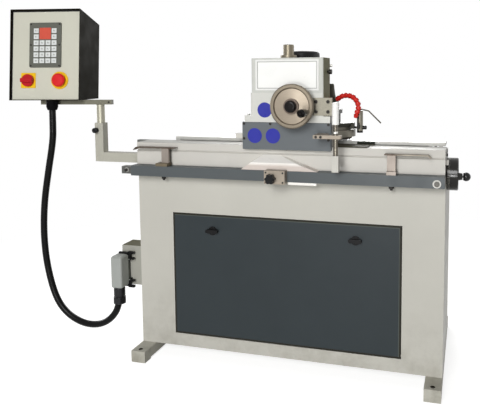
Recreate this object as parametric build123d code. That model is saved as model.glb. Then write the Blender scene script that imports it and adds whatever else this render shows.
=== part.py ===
from build123d import *

import math
import os

os.makedirs("parts", exist_ok=True)

# Frame: origin on the floor at the centre of the four anchor holes, +X along the bed, +Y to the back, +Z up.
# All sizes are millimetres.

# fits
BORE_GAP = 0.05
RUN_GAP = 0.3
SEAT_GAP = 0.2
OVER = 1.0

# floor beams and cabinet
CABINET_W = 1200.0
CABINET_D = 500.0
CABINET_H = 699.0
SHEET = 3.0
BEAM_L = 690.0
BEAM_W = 60.0
BEAM_H = 40.0
BEAM_WALL = 4.0
CAP_T = 3.0
CAP_PLUG = 8.0
PAD_H = 6.0
PAD_L = 47.0
ANCHOR_EDGE = 22.0
ANCHOR_R = 7.0
HALF_W = CABINET_W / 2
HALF_D = CABINET_D / 2
BEAM_X = HALF_W - BEAM_W / 2
BEAM_END = BEAM_L / 2
BEAM_TOP = PAD_H + BEAM_H
CABINET_TOP = BEAM_TOP + CABINET_H

# door, hinge and latches
DOOR_W = 900.0
DOOR_H = 491.0
DOOR_SILL = 54.0
DOOR_GAP = 2.0
DOOR_FOOT_GAP = 2.5
DOOR_SINK = 1.5
DOOR_DEPTH = 18.0
DOOR_SHEET = 2.0
HINGE_R = 4.0
HINGE_IN = 9.5
HINGE_UP = 8.0
HINGE_REACH = 6.0
LUG_GAP = 2.0
LUG_T = 8.0
LUG_D = 21.0
LUG_H = 24.5
LATCH_SPACING = 565.0
LATCH_DROP = 63.0
LATCH_R = 17.0
LATCH_T = 6.0
LATCH_SHAFT_R = 8.0
WING_L = 50.0
WING_W = 14.0
WING_H = 13.0
WING_FILLET = 6.0
TONGUE_L = 75.0
TONGUE_TAIL = 10.0
TONGUE_W = 20.0
TONGUE_T = 5.5
TONGUE_GAP = 0.5
KEEPER_W = 40.0
KEEPER_D = 17.0
KEEPER_UP = 1.0
KEEPER_H = 12.0
DOOR_X = DOOR_W / 2
DOOR_FRONT = -HALF_D + DOOR_SINK
DOOR_BACK = DOOR_FRONT + DOOR_DEPTH
DOOR_Z0 = BEAM_TOP + DOOR_SILL
DOOR_Z1 = DOOR_Z0 + DOOR_H
OPEN_X = DOOR_X + DOOR_GAP
OPEN_Z0 = DOOR_Z0 - DOOR_FOOT_GAP
OPEN_Z1 = DOOR_Z1 + DOOR_GAP
HINGE_Y = DOOR_FRONT + HINGE_IN
HINGE_Z = DOOR_Z0 + HINGE_UP
LATCH_Z = DOOR_Z1 - LATCH_DROP
KEEPER_BACK = -HALF_D + SHEET + KEEPER_D

# bed
BED_SETBACK = 2.0
BED_OVERHANG = 12.0
BED_D = 292.0
BED_H = 93.0
BED_WALL = 12.0
BED_FLOOR = 8.0
DRAIN_IN = 186.0
DRAIN_R = 20.0
WAY_D = 107.0
WAY_H = 33.0
GROOVE_D = 6.0
GROOVE_H = 5.0
END_STOP_OUT = 47.0
END_STOP_D = 24.0
REAR_D = 40.0
REAR_H = 10.0
BEARING_GAP = 10.0
BEARING_D = 40.0
BEARING_H = 22.0
LEFT_BEARING_L = 96.0
RIGHT_BEARING_L = 7.0
POINTER_W = 8.0
POINTER_T = 5.0
POINTER_UP = 6.0
INDEX_IN = 57.0
INDEX_D = 15.0
INDEX_DOWN = 8.0
INDEX_H = 18.0
INDEX_OUT = 10.0
POINTER_DOWN = 4.5
NOTCH_FRONT = 55.0
NOTCH_BACK = 12.0
NOTCH_DEPTH = 26.0
BED_X = HALF_W - BED_SETBACK
BED_FRONT = -HALF_D - BED_OVERHANG
BED_BACK = BED_FRONT + BED_D
SEAM_Z = CABINET_TOP + BED_H
BED_TOP = SEAM_Z + WAY_H
WAY_BACK = BED_FRONT + WAY_D
DRAIN_Y = BED_FRONT + DRAIN_IN

# knife table and its tilting drive
TABLE_LEFT = 110.0
TABLE_RIGHT = 4.0
TABLE_GAP = 16.0
TABLE_D = 109.0
TABLE_T = 13.4
TABLE_LIFT = 0.6
WEB_IN = 31.0
WEB_D = 46.0
WEB_H = 29.6
WEB_END = 18.0
HANGER_T = 13.0
HANGER_GAP = 2.0
HANGER_DROP = 11.0
CHAIN_BAY = 25.0
CHAIN_W = 8.0
CHAIN_T = 4.0
PIVOT_IN = 14.0
PIVOT_DROP = 21.0
PIVOT_R = 8.0
PIVOT_SEAT = 12.0
PIVOT_ROOM = 4.0
PIVOT_END = 1.0
CLAMP_HOLE_R = 4.0
CLAMP_HOLE_PITCH = 104.0
CLAMP_HOLE_EDGE = 68.0
CLAMP_HOLE_BACK = 20.0
TABLE_SPROCKET_R = 16.0
HAND_SPROCKET_R = 8.0
WHEEL_DROP = 81.5
TABLE_X0 = -BED_X + TABLE_LEFT
TABLE_X1 = BED_X - TABLE_RIGHT
TABLE_Y0 = WAY_BACK + TABLE_GAP
TABLE_Y1 = TABLE_Y0 + TABLE_D
TABLE_BOTTOM = BED_TOP + TABLE_LIFT
TABLE_TOP = TABLE_BOTTOM + TABLE_T
PIVOT_Y = TABLE_Y0 + PIVOT_IN
PIVOT_Z = BED_TOP - PIVOT_DROP
WHEEL_Z = PIVOT_Z - WHEEL_DROP
RIGHT_HANGER_X1 = BED_X - BED_WALL - HANGER_GAP
MIDDLE_HANGER_X1 = RIGHT_HANGER_X1 - HANGER_T - CHAIN_BAY
CHAIN_X0 = MIDDLE_HANGER_X1 + (CHAIN_BAY - CHAIN_W) / 2
CHAIN_X1 = CHAIN_X0 + CHAIN_W

# end handwheel: a graduated drum with a ball handle
DRUM_GAP = 2.0
DRUM_R = 60.0
DRUM_L = 41.0
DRUM_CHAMFER = 3.0
DRUM_RECESS_R = 50.0
DRUM_RECESS = 8.0
DRUM_HUB_R = 18.0
DRUM_HUB_OUT = 1.0
DRUM_SHAFT_R = 6.0
DRUM_SHAFT_IN = 5.0
CRANK_R = 42.0
CRANK_DROP = 2.0
CRANK_BOSS_R = 16.0
CRANK_NECK_R = 11.5
CRANK_BOSS_L = 23.0
CRANK_PIN_R = 4.0
CRANK_PIN_L = 26.0
BALL_R = 16.0
BALL_OUT = 12.5
BALL_FLAT = 2.0
DRUM_X0 = BED_X + DRUM_GAP
DRUM_X1 = DRUM_X0 + DRUM_L

# dog rail with its end fitting and screws
RAIL_D = 48.0
RAIL_DROP = 1.0
RAIL_H = 40.0
RAIL_WALL = 4.0
SLOT_W = 11.0
SLOT_IN = 75.0
SLOT_END = 28.0
SLOT_OUT = 23.0
END_L = 43.0
END_D = 32.0
END_H = 29.0
END_SINK = 4.0
END_UP = 6.0
END_BOLT_OUT = 20.0
END_BOLT_UP = 21.0
END_WASHER_R = 9.5
END_WASHER_T = 2.0
END_BOLT_R = 6.5
END_BOLT_H = 6.0
RIGHT_BOLT_IN = 27.0
RIGHT_BOLT_UP = 16.0
RIGHT_WASHER_R = 14.5
RIGHT_WASHER_T = 2.5
RIGHT_BOLT_R = 9.5
RIGHT_BOLT_H = 6.5
RIGHT_SOCKET_R = 5.0
RIGHT_SOCKET_DEPTH = 4.0
RAIL_FRONT = BED_FRONT - RAIL_D
RAIL_Z0 = CABINET_TOP - RAIL_DROP
RAIL_Z1 = RAIL_Z0 + RAIL_H
DOG_BOLT_Y = BED_FRONT - SLOT_OUT

# coolant chute
CHUTE_X0 = -141.0
CHUTE_X1 = 150.0
CHUTE_TOP_X0 = -64.0
CHUTE_TOP_X1 = -1.0
CHUTE_D = 42.0
CHUTE_KNEE = 28.0
CHUTE_T = 2.5
DRIP_GAP = 4.0
DRIP_H = 9.0
DRIP_D = 40.0
DRIP_T = 1.5

# centre bracket and its star knob
BRACKET_X0 = -38.0
BRACKET_W = 78.0
BRACKET_D = 32.0
BRACKET_H = 49.0
BRACKET_WALL = 4.0
BRACKET_LOW = 4.0
BRACKET_SCREW_R = 3.2
BRACKET_SCREW_H = 2.5
BRACKET_SCREW_IN = 7.0
KNOB_IN = 28.0
KNOB_UP = 17.0
KNOB_R = 15.0
KNOB_T = 23.0
KNOB_STANDOFF = 3.0
KNOB_LOBES = 6
LOBE_R = 6.0
LOBE_AT = 13.0
LOBE_SETBACK = 2.5
KNOB_PIN_R = 4.0
KNOB_PIN_IN = 10.0
KNOB_X = BRACKET_X0 + KNOB_IN
KNOB_Z = RAIL_Z0 + KNOB_UP
BRACKET_FRONT = RAIL_FRONT - BRACKET_D

# trip dogs, measured from the outer side of each upright bar
LEFT_DOG_IN = 127.0
LEFT_FOOT_OUT = 18.0
LEFT_STRIP_IN = 56.0
LEFT_BOLT_IN = 3.0
RIGHT_DOG_IN = 169.0
RIGHT_FOOT_OUT = 3.0
RIGHT_STRIP_IN = 40.0
RIGHT_BOLT_IN_BAR = 15.0
DOG_BAR_W = 30.0
DOG_BAR_D = 12.0
DOG_BAR_H = 70.0
DOG_BAR_BACK = 14.0
DOG_FOOT_IN = 1.0
DOG_FOOT_D = 40.0
DOG_FOOT_T = 12.0
DOG_FOOT_FRONT = 2.0
STRIP_OUT = 110.0
STRIP_D = 32.0
STRIP_T = 3.0
STRIP_UP = 2.0
STRIP_FRONT = 4.0
TIP_L = 11.0
TIP_DROP = 10.0
DOG_BOLT_R = 5.0
DOG_BOLT_SEAT = 10.0
DOG_BOLT_END = 17.0
DOG_NUT_FLATS = 17.0
DOG_NUT_H = 10.6
DOG_NUT_GAP = 0.4

# coolant tank and pump inside the cabinet
TANK_X0 = -300.0
TANK_W = 500.0
TANK_D = 290.0
TANK_H = 201.0
TANK_WALL = 3.0
TANK_BACK_GAP = 17.0
PUMP_IN = 100.0
PUMP_PLATE_W = 140.0
PUMP_PLATE_T = 6.0
PUMP_BACK = 140.0
PUMP_SUCTION_R = 30.0
PUMP_SUCTION_UP = 31.0
PUMP_R = 55.0
PUMP_H = 164.0
OUTLET_R = 12.0
OUTLET_UP = 24.0
OUTLET_L = 45.0
TANK_Z0 = BEAM_TOP + SHEET
TANK_Z1 = TANK_Z0 + TANK_H
TANK_Y1 = HALF_D - SHEET - TANK_BACK_GAP
TANK_Y0 = TANK_Y1 - TANK_D

# carriage: saddle, apron and limit switch
CARRIAGE_X0 = -141.0
APRON_W = 338.0
APRON_T = 21.7
APRON_DROP = 12.5
APRON_SCREW_R = 5.0
APRON_SCREW_H = 2.5
APRON_SCREW_DOWN = 6.5
APRON_SCREWS_IN = (7.0, 110.0, 216.0, 330.0)
LOW_SCREW_DOWN = 62.0
SADDLE_H = 90.0
SADDLE_DEEP_W = 185.0
SADDLE_SHALLOW_D = 40.3
SHOE_L = 128.0
SHOE_IN = 7.0
SHOE_D = 95.0
SHOE_T = 3.5
LIP_L = 64.0
LIP_OUT = 11.0
LIP_IN = 6.0
LIP_BACK = 17.0
LIP_H = 12.5
HOOK_T = 8.0
HOOK_DROP = 15.0
WIPER_L = 55.0
WIPER_BACK = 47.0
WIPER_D = 25.0
WIPER_UP = 20.0
WIPER_H = 19.0
SWITCH_IN = 153.0
SWITCH_W = 32.0
SWITCH_D = 16.0
SWITCH_H = 16.0
SWITCH_SINK = 4.0
POCKET_H = 23.5
POCKET_ROOM = 4.0
POCKET_SKIN = 3.0
SWITCH_ARM_W = 8.0
SWITCH_ARM_T = 4.0
ROLLER_R = 5.0
ROLLER_L = 9.0
ROLLER_UP = 3.5
SADDLE_FRONT = BED_FRONT - RUN_GAP
SADDLE_BACK = WAY_BACK + HOOK_T
SADDLE_TOP = BED_TOP + SADDLE_H
APRON_FRONT = SADDLE_FRONT - APRON_T
APRON_X1 = CARRIAGE_X0 + APRON_W
APRON_BOTTOM = BED_TOP - APRON_DROP

# head housing, cover and the plates on them
HEAD_IN = 36.0
HEAD_W = 277.0
HEAD_D = 111.0
HEAD_H = 84.0
HEAD_OUT = 6.0
HEAD_WALL = 8.0
HEAD_FILLET = 6.0
FLANGE_SIDE = 24.0
FLANGE_BACK = 4.0
FLANGE_T = 24.0
FLANGE_BOLT_R = 5.5
FLANGE_BOLT_H = 6.0
FLANGE_BOLT_IN = 12.0
HEAD_PAD_IN = 40.0
HEAD_PAD_OUT = 32.0
HEAD_PAD_UP = 3.0
HEAD_PAD_H = 64.0
HEAD_PAD_T = 4.0
PAD_BOLT_R = 6.0
PAD_BOLT_H = 5.0
PAD_BOLT_IN = 14.0
COVER_IN = 4.0
COVER_H = 127.0
COVER_WALL = 3.0
PLATE_IN = 17.0
PLATE_W = 239.0
PLATE_H = 112.0
PLATE_UP = 9.0
PLATE_T = 2.0
PLATE_RIM = 8.0
PLATE_SINK = 1.0
DISC_T = 1.2
APRON_DISC_R = 28.0
APRON_DISC_UP = 51.5
APRON_DISCS_IN = (49.0, 120.0)
HEAD_DISC_R = 28.0
HEAD_DISC_UP = 21.0
HEAD_DISC_IN = 55.0
BEARING_FLANGE_R = 30.0
BEARING_FLANGE_T = 11.0
BEARING_R = 20.0
BEARING_CAP_H = 50.0
BEARING_CHAMFER = 2.0
BEARING_SKIN = 10.0
FITTING_R = 5.0
FITTING_L = 10.0
FITTING_UP = 99.0
FITTING_BACK = 9.0
STOP_KNOB_R = 9.0
STOP_KNOB_L = 12.0
STOP_STEM_R = 4.0
STOP_STEM_L = 4.0
STOP_KNOB_UP = 76.0
STOP_KNOB_BACK = 43.0
HEAD_X0 = CARRIAGE_X0 + HEAD_IN
HEAD_X1 = HEAD_X0 + HEAD_W
HEAD_FRONT = APRON_FRONT - HEAD_OUT
HEAD_BACK = HEAD_FRONT + HEAD_D
HEAD_Z0 = SADDLE_TOP + FLANGE_T
HEAD_Z1 = HEAD_Z0 + HEAD_H
COVER_X0 = HEAD_X0 + COVER_IN
COVER_Z1 = HEAD_Z1 + COVER_H

# feed: handwheel, gear pair and screw
SCREW_IN = 168.0
SCREW_BACK = 55.0
SCREW_R = 8.0
SCREW_SEAT = 16.0
GEAR_SPACING = 40.0
GEAR_T = 22.0
FEED_UP = 37.6
FEED_SHAFT_R = 8.0
FEED_SHAFT_SHORT = 2.0
FEED_STANDOFF = 35.0
FEED_WHEEL_R = 80.0
RIM_W = 13.0
RIM_T = 20.0
RIM_CHAMFER = 4.0
HUB_R = 28.0
HUB_T = 25.0
HUB_FACE_R = 22.0
HUB_FACE_T = 15.0
HUB_FACE_FILLET = 9.0
WEB_HUB_BACK = 3.0
WEB_HUB_T = 13.0
WEB_RIM_BACK = 6.0
WEB_RIM_T = 7.0
HANDLE_OUT = 57.0
HANDLE_DOWN = 20.0
HANDLE_BOSS_R = 9.0
HANDLE_BOSS_T = 12.0
HANDLE_PIN_R = 4.0
HANDLE_L = 90.0
HANDLE_SHARES = (0.27, 0.58, 0.85)
HANDLE_ROOT_R = 9.5
HANDLE_MID_R = 12.5
HANDLE_R = 14.5
HANDLE_END_R = 9.0
SCREW_X = CARRIAGE_X0 + SCREW_IN
SCREW_Y = HEAD_FRONT + SCREW_BACK
FEED_X = SCREW_X + GEAR_SPACING
FEED_Z = HEAD_Z0 + FEED_UP
GEAR_R = GEAR_SPACING / 2 - SEAT_GAP
FEED_WHEEL_BACK = HEAD_FRONT - FEED_STANDOFF

# vertical slide of the grinding head
SLIDE_IN = 141.0
SLIDE_W = 150.0
SLIDE_T = 18.7
SLIDE_H = 190.0
GUIDE_W = 19.8
LIP_W = 10.0
LIP_T = 9.8
SHELF_T = 16.0
SHELF_FRONT = 39.0
SHELF_RIGHT = 44.0
SHELF_MOTOR = 78.0
NECK_W = 120.0
ARM_W = 34.0
ARM_T = 18.0
ARM_UP = 57.0
ARM_REACH = 17.0
ARM_ROOM = 8.0
ARM_DOWN = 6.0
HEAD_STROKE = 30.0
STROKE_ROOM = 14.0
SHELF_HOLE_R = 14.0
SLIDE_X = CARRIAGE_X0 + SLIDE_IN
SLIDE_FRONT = HEAD_BACK + RUN_GAP
SLIDE_BACK = SLIDE_FRONT + SLIDE_T
LIP_FRONT = SLIDE_BACK + SEAT_GAP
GUIDE_BACK = LIP_FRONT + LIP_T
GUIDE_X = SLIDE_W / 2 + SEAT_GAP
SHELF_TOP = HEAD_Z0 + SHELF_T
ARM_Z0 = HEAD_Z0 + ARM_UP

# spindle, grinding ring, guard and belt
SPINDLE_IN = 293.0
SPINDLE_BACK = 29.0
SPINDLE_R = 12.0
SPINDLE_TOP = 111.0
SPINDLE_FLANGE_R = 85.0
SPINDLE_FLANGE_T = 11.0
RING_LIFT = 5.5
RING_R = 90.5
RING_BORE_R = 60.0
RING_H = 8.5
RING_SLOTS = 4
RING_SLOT_W = 6.0
CHUCK_R = 103.0
CHUCK_BORE_R = 55.0
CHUCK_H = 27.0
CHUCK_WEB = 10.0
CHUCK_CHAMFER = 2.0
GUARD_R = 93.0
GUARD_T = 13.0
GUARD_LIFT = 2.0
GUARD_HOLE_R = 20.0
GUARD_ROOM = 15.0
CASE_ROOM = 13.0
CASE_WALL = 2.5
PULLEY_UP = 5.5
PULLEY_DOWN = 5.0
SPINDLE_PULLEY_R = 32.0
MOTOR_PULLEY_R = 36.0
BELT_T = 4.0
BELT_EDGE = 2.0
BELL_R = 38.0
BELL_FOOT = 3.0
BELL_WAIST_R = 24.0
BELL_WAIST_UP = 59.0
BELL_TOP_R = 19.5
BELL_H = 99.0
BELL_CHAMFER = 3.0
SPINDLE_X = CARRIAGE_X0 + SPINDLE_IN
SPINDLE_Y = TABLE_Y0 + SPINDLE_BACK
RING_Z0 = TABLE_TOP + RING_LIFT
CHUCK_Z0 = RING_Z0 + RING_H
CHUCK_Z1 = CHUCK_Z0 + CHUCK_H
FLANGE_Z1 = CHUCK_Z1 + SPINDLE_FLANGE_T
GUARD_Z0 = FLANGE_Z1 + GUARD_LIFT
GUARD_Z1 = GUARD_Z0 + GUARD_T
PULLEY_Z0 = GUARD_Z1 + CASE_WALL + PULLEY_UP
PULLEY_Z1 = HEAD_Z0 - PULLEY_DOWN

# drive motor
MOTOR_SIDE = 120.0
MOTOR_BEHIND = 50.0
MOTOR_FLANGE_R = 70.0
MOTOR_FLANGE_T = 12.0
MOTOR_R = 58.0
MOTOR_H = 171.0
MOTOR_FINS = 24
FIN_OUT = 8.0
FIN_T = 3.0
COWL_R = 70.0
COWL_H = 55.0
COWL_FILLET = 14.0
MOTOR_SHAFT_R = 11.0
MOTOR_SHAFT_IN = 59.0
MOTOR_X = SPINDLE_X - MOTOR_SIDE
MOTOR_Y = SPINDLE_Y + MOTOR_BEHIND

# nozzle tube on its rod, and feeler wire
NOZZLE_SIDE = 123.0
NOZZLE_FRONT = 10.0
NOZZLE_R = 11.5
NOZZLE_BORE_R = 7.5
NOZZLE_H = 84.0
NOZZLE_LOW = 25.0
NOZZLE_BORE = 46.0
NOZZLE_ROD_R = 4.5
NOZZLE_ROD_DOWN = 5.5
NOZZLE_ROD_OUT = 26.0
ROD_KNOB_R = 7.5
ROD_KNOB_L = 14.0
ROD_KNOB_CHAMFER = 2.5
NOZZLE_LUG_IN = 5.0
NOZZLE_LUG_W = 14.0
NOZZLE_LUG_D = 20.0
NOZZLE_LUG_H = 11.0
NOZZLE_LUG_SKIN = 2.0
TAP_STEM_R = 4.0
TAP_STEM_L = 22.0
TAP_UP = 26.0
TAP_T = 5.0
TAP_D = 10.0
TAP_H = 24.0
WIRE_R = 2.6
WIRE_SEAT = 5.0
WIRE_RISE = 6.0
WIRE_LEVEL = 33.0
WIRE_SLOPE = 7.0
WIRE_OUT = 80.0
WIRE_FALL = 47.0
WIRE_BEND_R = 5.0
NOZZLE_X = SPINDLE_X + NOZZLE_SIDE
NOZZLE_Y = SPINDLE_Y - NOZZLE_FRONT
NOZZLE_Z0 = GUARD_Z0 - NOZZLE_LOW
NOZZLE_Z1 = NOZZLE_Z0 + NOZZLE_H
NOZZLE_ROD_Z = GUARD_Z0 - NOZZLE_ROD_DOWN

# jointed coolant hose
HOSE_SIDE = 80.0
HOSE_UP = 20.0
HOSE_ROOT_FRONT = 9.0
HOSE_END_FRONT = 38.0
HOSE_R0 = 58.0
HOSE_R1 = 39.0
HOSE_START_DEG = 147.0
HOSE_LINKS = 9
HOSE_PITCH = 16.0
HOSE_BALL_R = 8.0
HOSE_NECK_R = 6.0
HOSE_BORE_R = 3.0
HOSE_CUP_R = 10.2
HOSE_CUP_START = 7.4
HOSE_CUP_CHAMFER = 0.8
HOSE_RIM = 2.0
HOSE_BOSS_L = 16.0
HOSE_NOZZLE_L = 13.0
HOSE_NOZZLE_R = 5.5
HOSE_X = SPINDLE_X + HOSE_SIDE
HOSE_Z = HEAD_Z0 + HOSE_UP
HOSE_Y0 = SPINDLE_Y - HOSE_ROOT_FRONT
HOSE_Y1 = SPINDLE_Y - HOSE_END_FRONT

# reversing lever on its bracket
LEVER_IN = 370.0
LEVER_OUT = 66.0
LEVER_DOWN = 43.5
BAR_D = 24.0
BAR_T = 13.0
BAR_LEFT = 79.0
BAR_RIGHT = 21.0
BAR_FOOT_W = 40.0
BAR_BOLT_R = 4.5
BAR_BOLT_H = 4.0
BAR_BOLTS_IN = (11.0, 28.0)
LEVER_SLOT_W = 23.0
LEVER_SLOT_D = 18.0
LEVER_PIN_R = 3.0
LEVER_R = 8.5
LEVER_LOW = 66.5
LEVER_NECK_UP = 9.5
LEVER_NECK_R = 5.0
LEVER_BALL_R = 8.5
LEVER_BALL_H = 11.0
LEVER_COLLAR_R = 8.0
LEVER_COLLAR_H = 23.0
GRIP_CORE_R = 6.0
GRIP_R = 12.5
GRIP_H = 78.0
GRIP_SKIN = 9.0
GRIP_FILLET = 5.0
LEVER_FOOT_W = 25.0
LEVER_FOOT_H = 57.0
LEVER_FOOT_FILLET = 2.0
LEVER_X = CARRIAGE_X0 + LEVER_IN
LEVER_Y = APRON_FRONT - LEVER_OUT
LEVER_Z = SADDLE_TOP - LEVER_DOWN

# pendant arm, mast and post
POST_OUT = 247.0
POST_BACK = 132.0
POST_R = 16.85
POST_WALL = 3.35
MAST_W = 40.0
MAST_WALL = 3.0
MAST_FILLET = 3.0
MAST_UP = 25.0
MAST_H = 165.0
MAST_FLOOR = 6.0
POST_FOOT = 14.0
ARM_PLATE_T = 8.0
ARM_PLATE_D = 90.0
ARM_PLATE_H = 82.0
ARM_PLATE_UP = 5.0
CLAMP_SIDE = 8.0
CLAMP_DOWN = 31.0
CLAMP_R = 11.0
CLAMP_L = 17.0
CLAMP_STANDOFF = 5.0
CLAMP_PIN_R = 4.0
CROSS_LEFT = 259.5
CROSS_RIGHT = 53.2
CROSS_W = 24.0
CROSS_H = 20.0
CROSS_WALL = 2.5
CROSS_SCREW_R = 4.0
CROSS_SCREW_H = 2.0
CROSS_SCREW_IN = 12.0
SWIVEL_DEG = 11.0
POST_X = -BED_X - POST_OUT
POST_Y = BED_FRONT + POST_BACK
MAST_Z0 = CABINET_TOP + MAST_UP
MAST_Z1 = MAST_Z0 + MAST_H

# pendant box and panel, drawn round the post and then swivelled
BOX_RIGHT = 68.2
BOX_W = 306.0
BOX_FRONT_OUT = 60.1
BOX_D = 205.6
BOX_UP = 98.3
BOX_FRONT_H = 385.0
BOX_BACK_H = 332.3
BOX_WALL = 2.5
PANEL_TILT_DEG = 6.3
PANEL_INSET = 11.0
PANEL_T = 3.0
PANEL_GAP = 0.4
PANEL_TOP_GAP = 1.2
BEZEL_W = 139.0
BEZEL_H = 190.0
BEZEL_T = 6.0
BEZEL_UP = 139.0
BEZEL_FILLET = 6.0
BEZEL_SCREW_R = 4.0
BEZEL_SCREW_H = 1.5
BEZEL_SCREW_IN = 7.0
KEY_COLUMNS = 4
KEY_ROWS = 6
KEY_W = 21.4
KEY_H = 20.0
KEY_T = 1.6
KEY_PITCH_U = 26.2
KEY_PITCH_V = 25.5
KEY_TOP = 34.5
DISPLAY_W = 49.6
DISPLAY_H = 49.0
DISPLAY_T = 1.0
DISPLAY_TOP = 22.0
DISPLAY_ROWS = 2
SWITCH_LEFT = 73.8
STOP_RIGHT = 64.0
SWITCH_UP = 84.0
SWITCH_PLATE_W = 64.0
SWITCH_PLATE_T = 3.0
SWITCH_KNOB_R = 26.0
SWITCH_KNOB_T = 10.0
SWITCH_GRIP_W = 17.0
SWITCH_GRIP_H = 11.0
SWITCH_SHAFT_R = 6.0
SWITCH_SHAFT_L = 14.0
STOP_RING_R = 37.0
STOP_RING_T = 4.0
STOP_TRAVEL_ROOM = 7.0
STOP_R = 28.0
STOP_FOOT_R = 22.0
STOP_EDGE_UP = 4.0
STOP_EDGE_H = 4.0
STOP_TOP_H = 14.0
STOP_SHAFT_R = 12.0
STOP_SHAFT_L = 14.0
GLAND_LEFT = 196.5
GLAND_FRONT = 37.5
GLAND_FLATS = 46.0
GLAND_NUT_H = 18.0
GLAND_R = 24.0
GLAND_END_R = 19.0
GLAND_TAPER = 14.0
GLAND_H = 42.0
GLAND_SEAT = 10.0
BOX_Z = MAST_Z1 + BOX_UP
BOX_X = -BOX_RIGHT - BOX_W / 2
BOX_Y0 = -BOX_FRONT_OUT
BOX_Y1 = BOX_Y0 + BOX_D

# junction box with its plug
JUNCTION_L = 154.0
JUNCTION_D = 93.0
JUNCTION_H = 171.0
JUNCTION_FRONT = 110.0
JUNCTION_UP = 192.0
JUNCTION_WALL = 3.0
JUNCTION_FILLET = 5.0
SOCKET_W = 43.0
SOCKET_D = 25.0
SOCKET_H = 120.0
SOCKET_UP = 12.0
SOCKET_OUT = 5.0
HOOD_W = 51.0
HOOD_D = 56.8
HOOD_H = 136.0
HOOD_FILLET = 9.0
HOOD_CHAMFER = 5.0
HOOD_TOP_CHAMFER = 7.0
HOOD_DOWN = 6.0
PLUG_LEFT = 4.5
PLUG_FRONT = 24.8
PLUG_NUT_R = 24.0
PLUG_NUT_H = 40.0
PLUG_ROUND = 4.0
PLUG_GROOVE_R = 21.0
PLUG_GROOVE_H = 4.0
PLUG_END_FLATS = 50.0
PLUG_END_H = 29.0
PLUG_BORE = 40.0
PLUG_FLARE = 3.0
LEVER_EYE_R = 6.0
LEVER_EYE_PIN_R = 3.0
LEVER_EYE_GAP = 0.3
LEVER_PLATE_T = 13.0
LEVER_PLATE_W = 27.7
LEVER_PLATE_H = 34.0
LEVER_WINDOW_IN = 10.7
LEVER_WINDOW_Z = 8.0
LEVER_WINDOW_H = 16.0
LEVER_BOW_H = 11.0
LEVER_BOW_GAP = 3.0
LEVER_EYE_IN = 16.0
LEVER_BACK = 10.0
JUNCTION_X0 = -HALF_W - JUNCTION_L
JUNCTION_Y0 = -HALF_D + JUNCTION_FRONT
JUNCTION_Z0 = BEAM_TOP + JUNCTION_UP
SOCKET_X0 = JUNCTION_X0 - SOCKET_OUT
SOCKET_X1 = SOCKET_X0 + SOCKET_W
SOCKET_Y0 = JUNCTION_Y0 - SOCKET_D
SOCKET_Z0 = JUNCTION_Z0 + SOCKET_UP
SOCKET_Z1 = SOCKET_Z0 + SOCKET_H
HOOD_X = (SOCKET_X0 + SOCKET_X1) / 2
HOOD_Y1 = SOCKET_Y0 - SEAT_GAP
HOOD_Y0 = HOOD_Y1 - HOOD_D
HOOD_Z0 = SOCKET_Z0 - HOOD_DOWN
PLUG_X = HOOD_X - PLUG_LEFT
PLUG_Y = HOOD_Y1 - PLUG_FRONT
LEVER_EYE_X = SOCKET_X1 + LEVER_EYE_R + LEVER_EYE_GAP

# conduit from the box's gland to the plug
CONDUIT_D = 28.0
CONDUIT_SEAT = 2.0
BEND_SHARE = 0.45


def block(x0, x1, y0, y1, z0, z1):
    """Box between two corners, given in either order."""
    size = Box(abs(x1 - x0), abs(y1 - y0), abs(z1 - z0))
    return Pos((x0 + x1) / 2, (y0 + y1) / 2, (z0 + z1) / 2) * size


def rod_x(y, z, r, x0, x1):
    """Round bar along X."""
    return Pos((x0 + x1) / 2, y, z) * Rot(0, 90, 0) * Cylinder(r, abs(x1 - x0))


def rod_y(x, z, r, y0, y1):
    """Round bar along Y."""
    return Pos(x, (y0 + y1) / 2, z) * Rot(90, 0, 0) * Cylinder(r, abs(y1 - y0))


def rod_z(x, y, r, z0, z1):
    """Round bar along Z."""
    return Pos(x, y, (z0 + z1) / 2) * Cylinder(r, abs(z1 - z0))


def prism(plane, points, start, end, direction):
    """Polygon drawn on a plane and pushed from start to end along direction."""
    face = plane * make_face(Polyline(*points, close=True))
    solid = extrude(face, amount=end - start, dir=direction)
    return Pos(*(start * d for d in direction)) * solid


def prism_x(points, x0, x1):
    return prism(Plane.YZ, points, x0, x1, (1, 0, 0))


def prism_y(points, y0, y1):
    return prism(Plane.XZ, points, y0, y1, (0, 1, 0))


def prism_z(points, z0, z1):
    return prism(Plane.XY, points, z0, z1, (0, 0, 1))


def loop_outline(centre_a, ra, centre_b, rb):
    """Face that a tight band round two circles encloses."""
    dx = centre_b[0] - centre_a[0]
    dy = centre_b[1] - centre_a[1]
    span = math.hypot(dx, dy)
    ux = dx / span
    uy = dy / span
    cos_b = (ra - rb) / span
    sin_b = math.sqrt(1 - cos_b * cos_b)
    corners = []
    for side in (1, -1):
        nx = ux * cos_b - side * uy * sin_b
        ny = uy * cos_b + side * ux * sin_b
        corners.append((centre_a[0] + ra * nx, centre_a[1] + ra * ny))
        corners.append((centre_b[0] + rb * nx, centre_b[1] + rb * ny))
    quad = make_face(Polyline(corners[0], corners[1], corners[3], corners[2], close=True))
    return quad + Pos(*centre_a) * Circle(ra) + Pos(*centre_b) * Circle(rb)


def loop_z(centre_a, ra, centre_b, rb, z0, z1):
    """Column over a two-circle outline, along Z."""
    face = loop_outline(centre_a, ra, centre_b, rb)
    return Pos(0, 0, z0) * extrude(face, amount=z1 - z0, dir=(0, 0, 1))


def loop_x(centre_a, ra, centre_b, rb, x0, x1):
    """Column over a two-circle outline drawn in Y and Z, along X."""
    face = Plane.YZ * loop_outline(centre_a, ra, centre_b, rb)
    return Pos(x0, 0, 0) * extrude(face, amount=x1 - x0, dir=(1, 0, 0))


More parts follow.
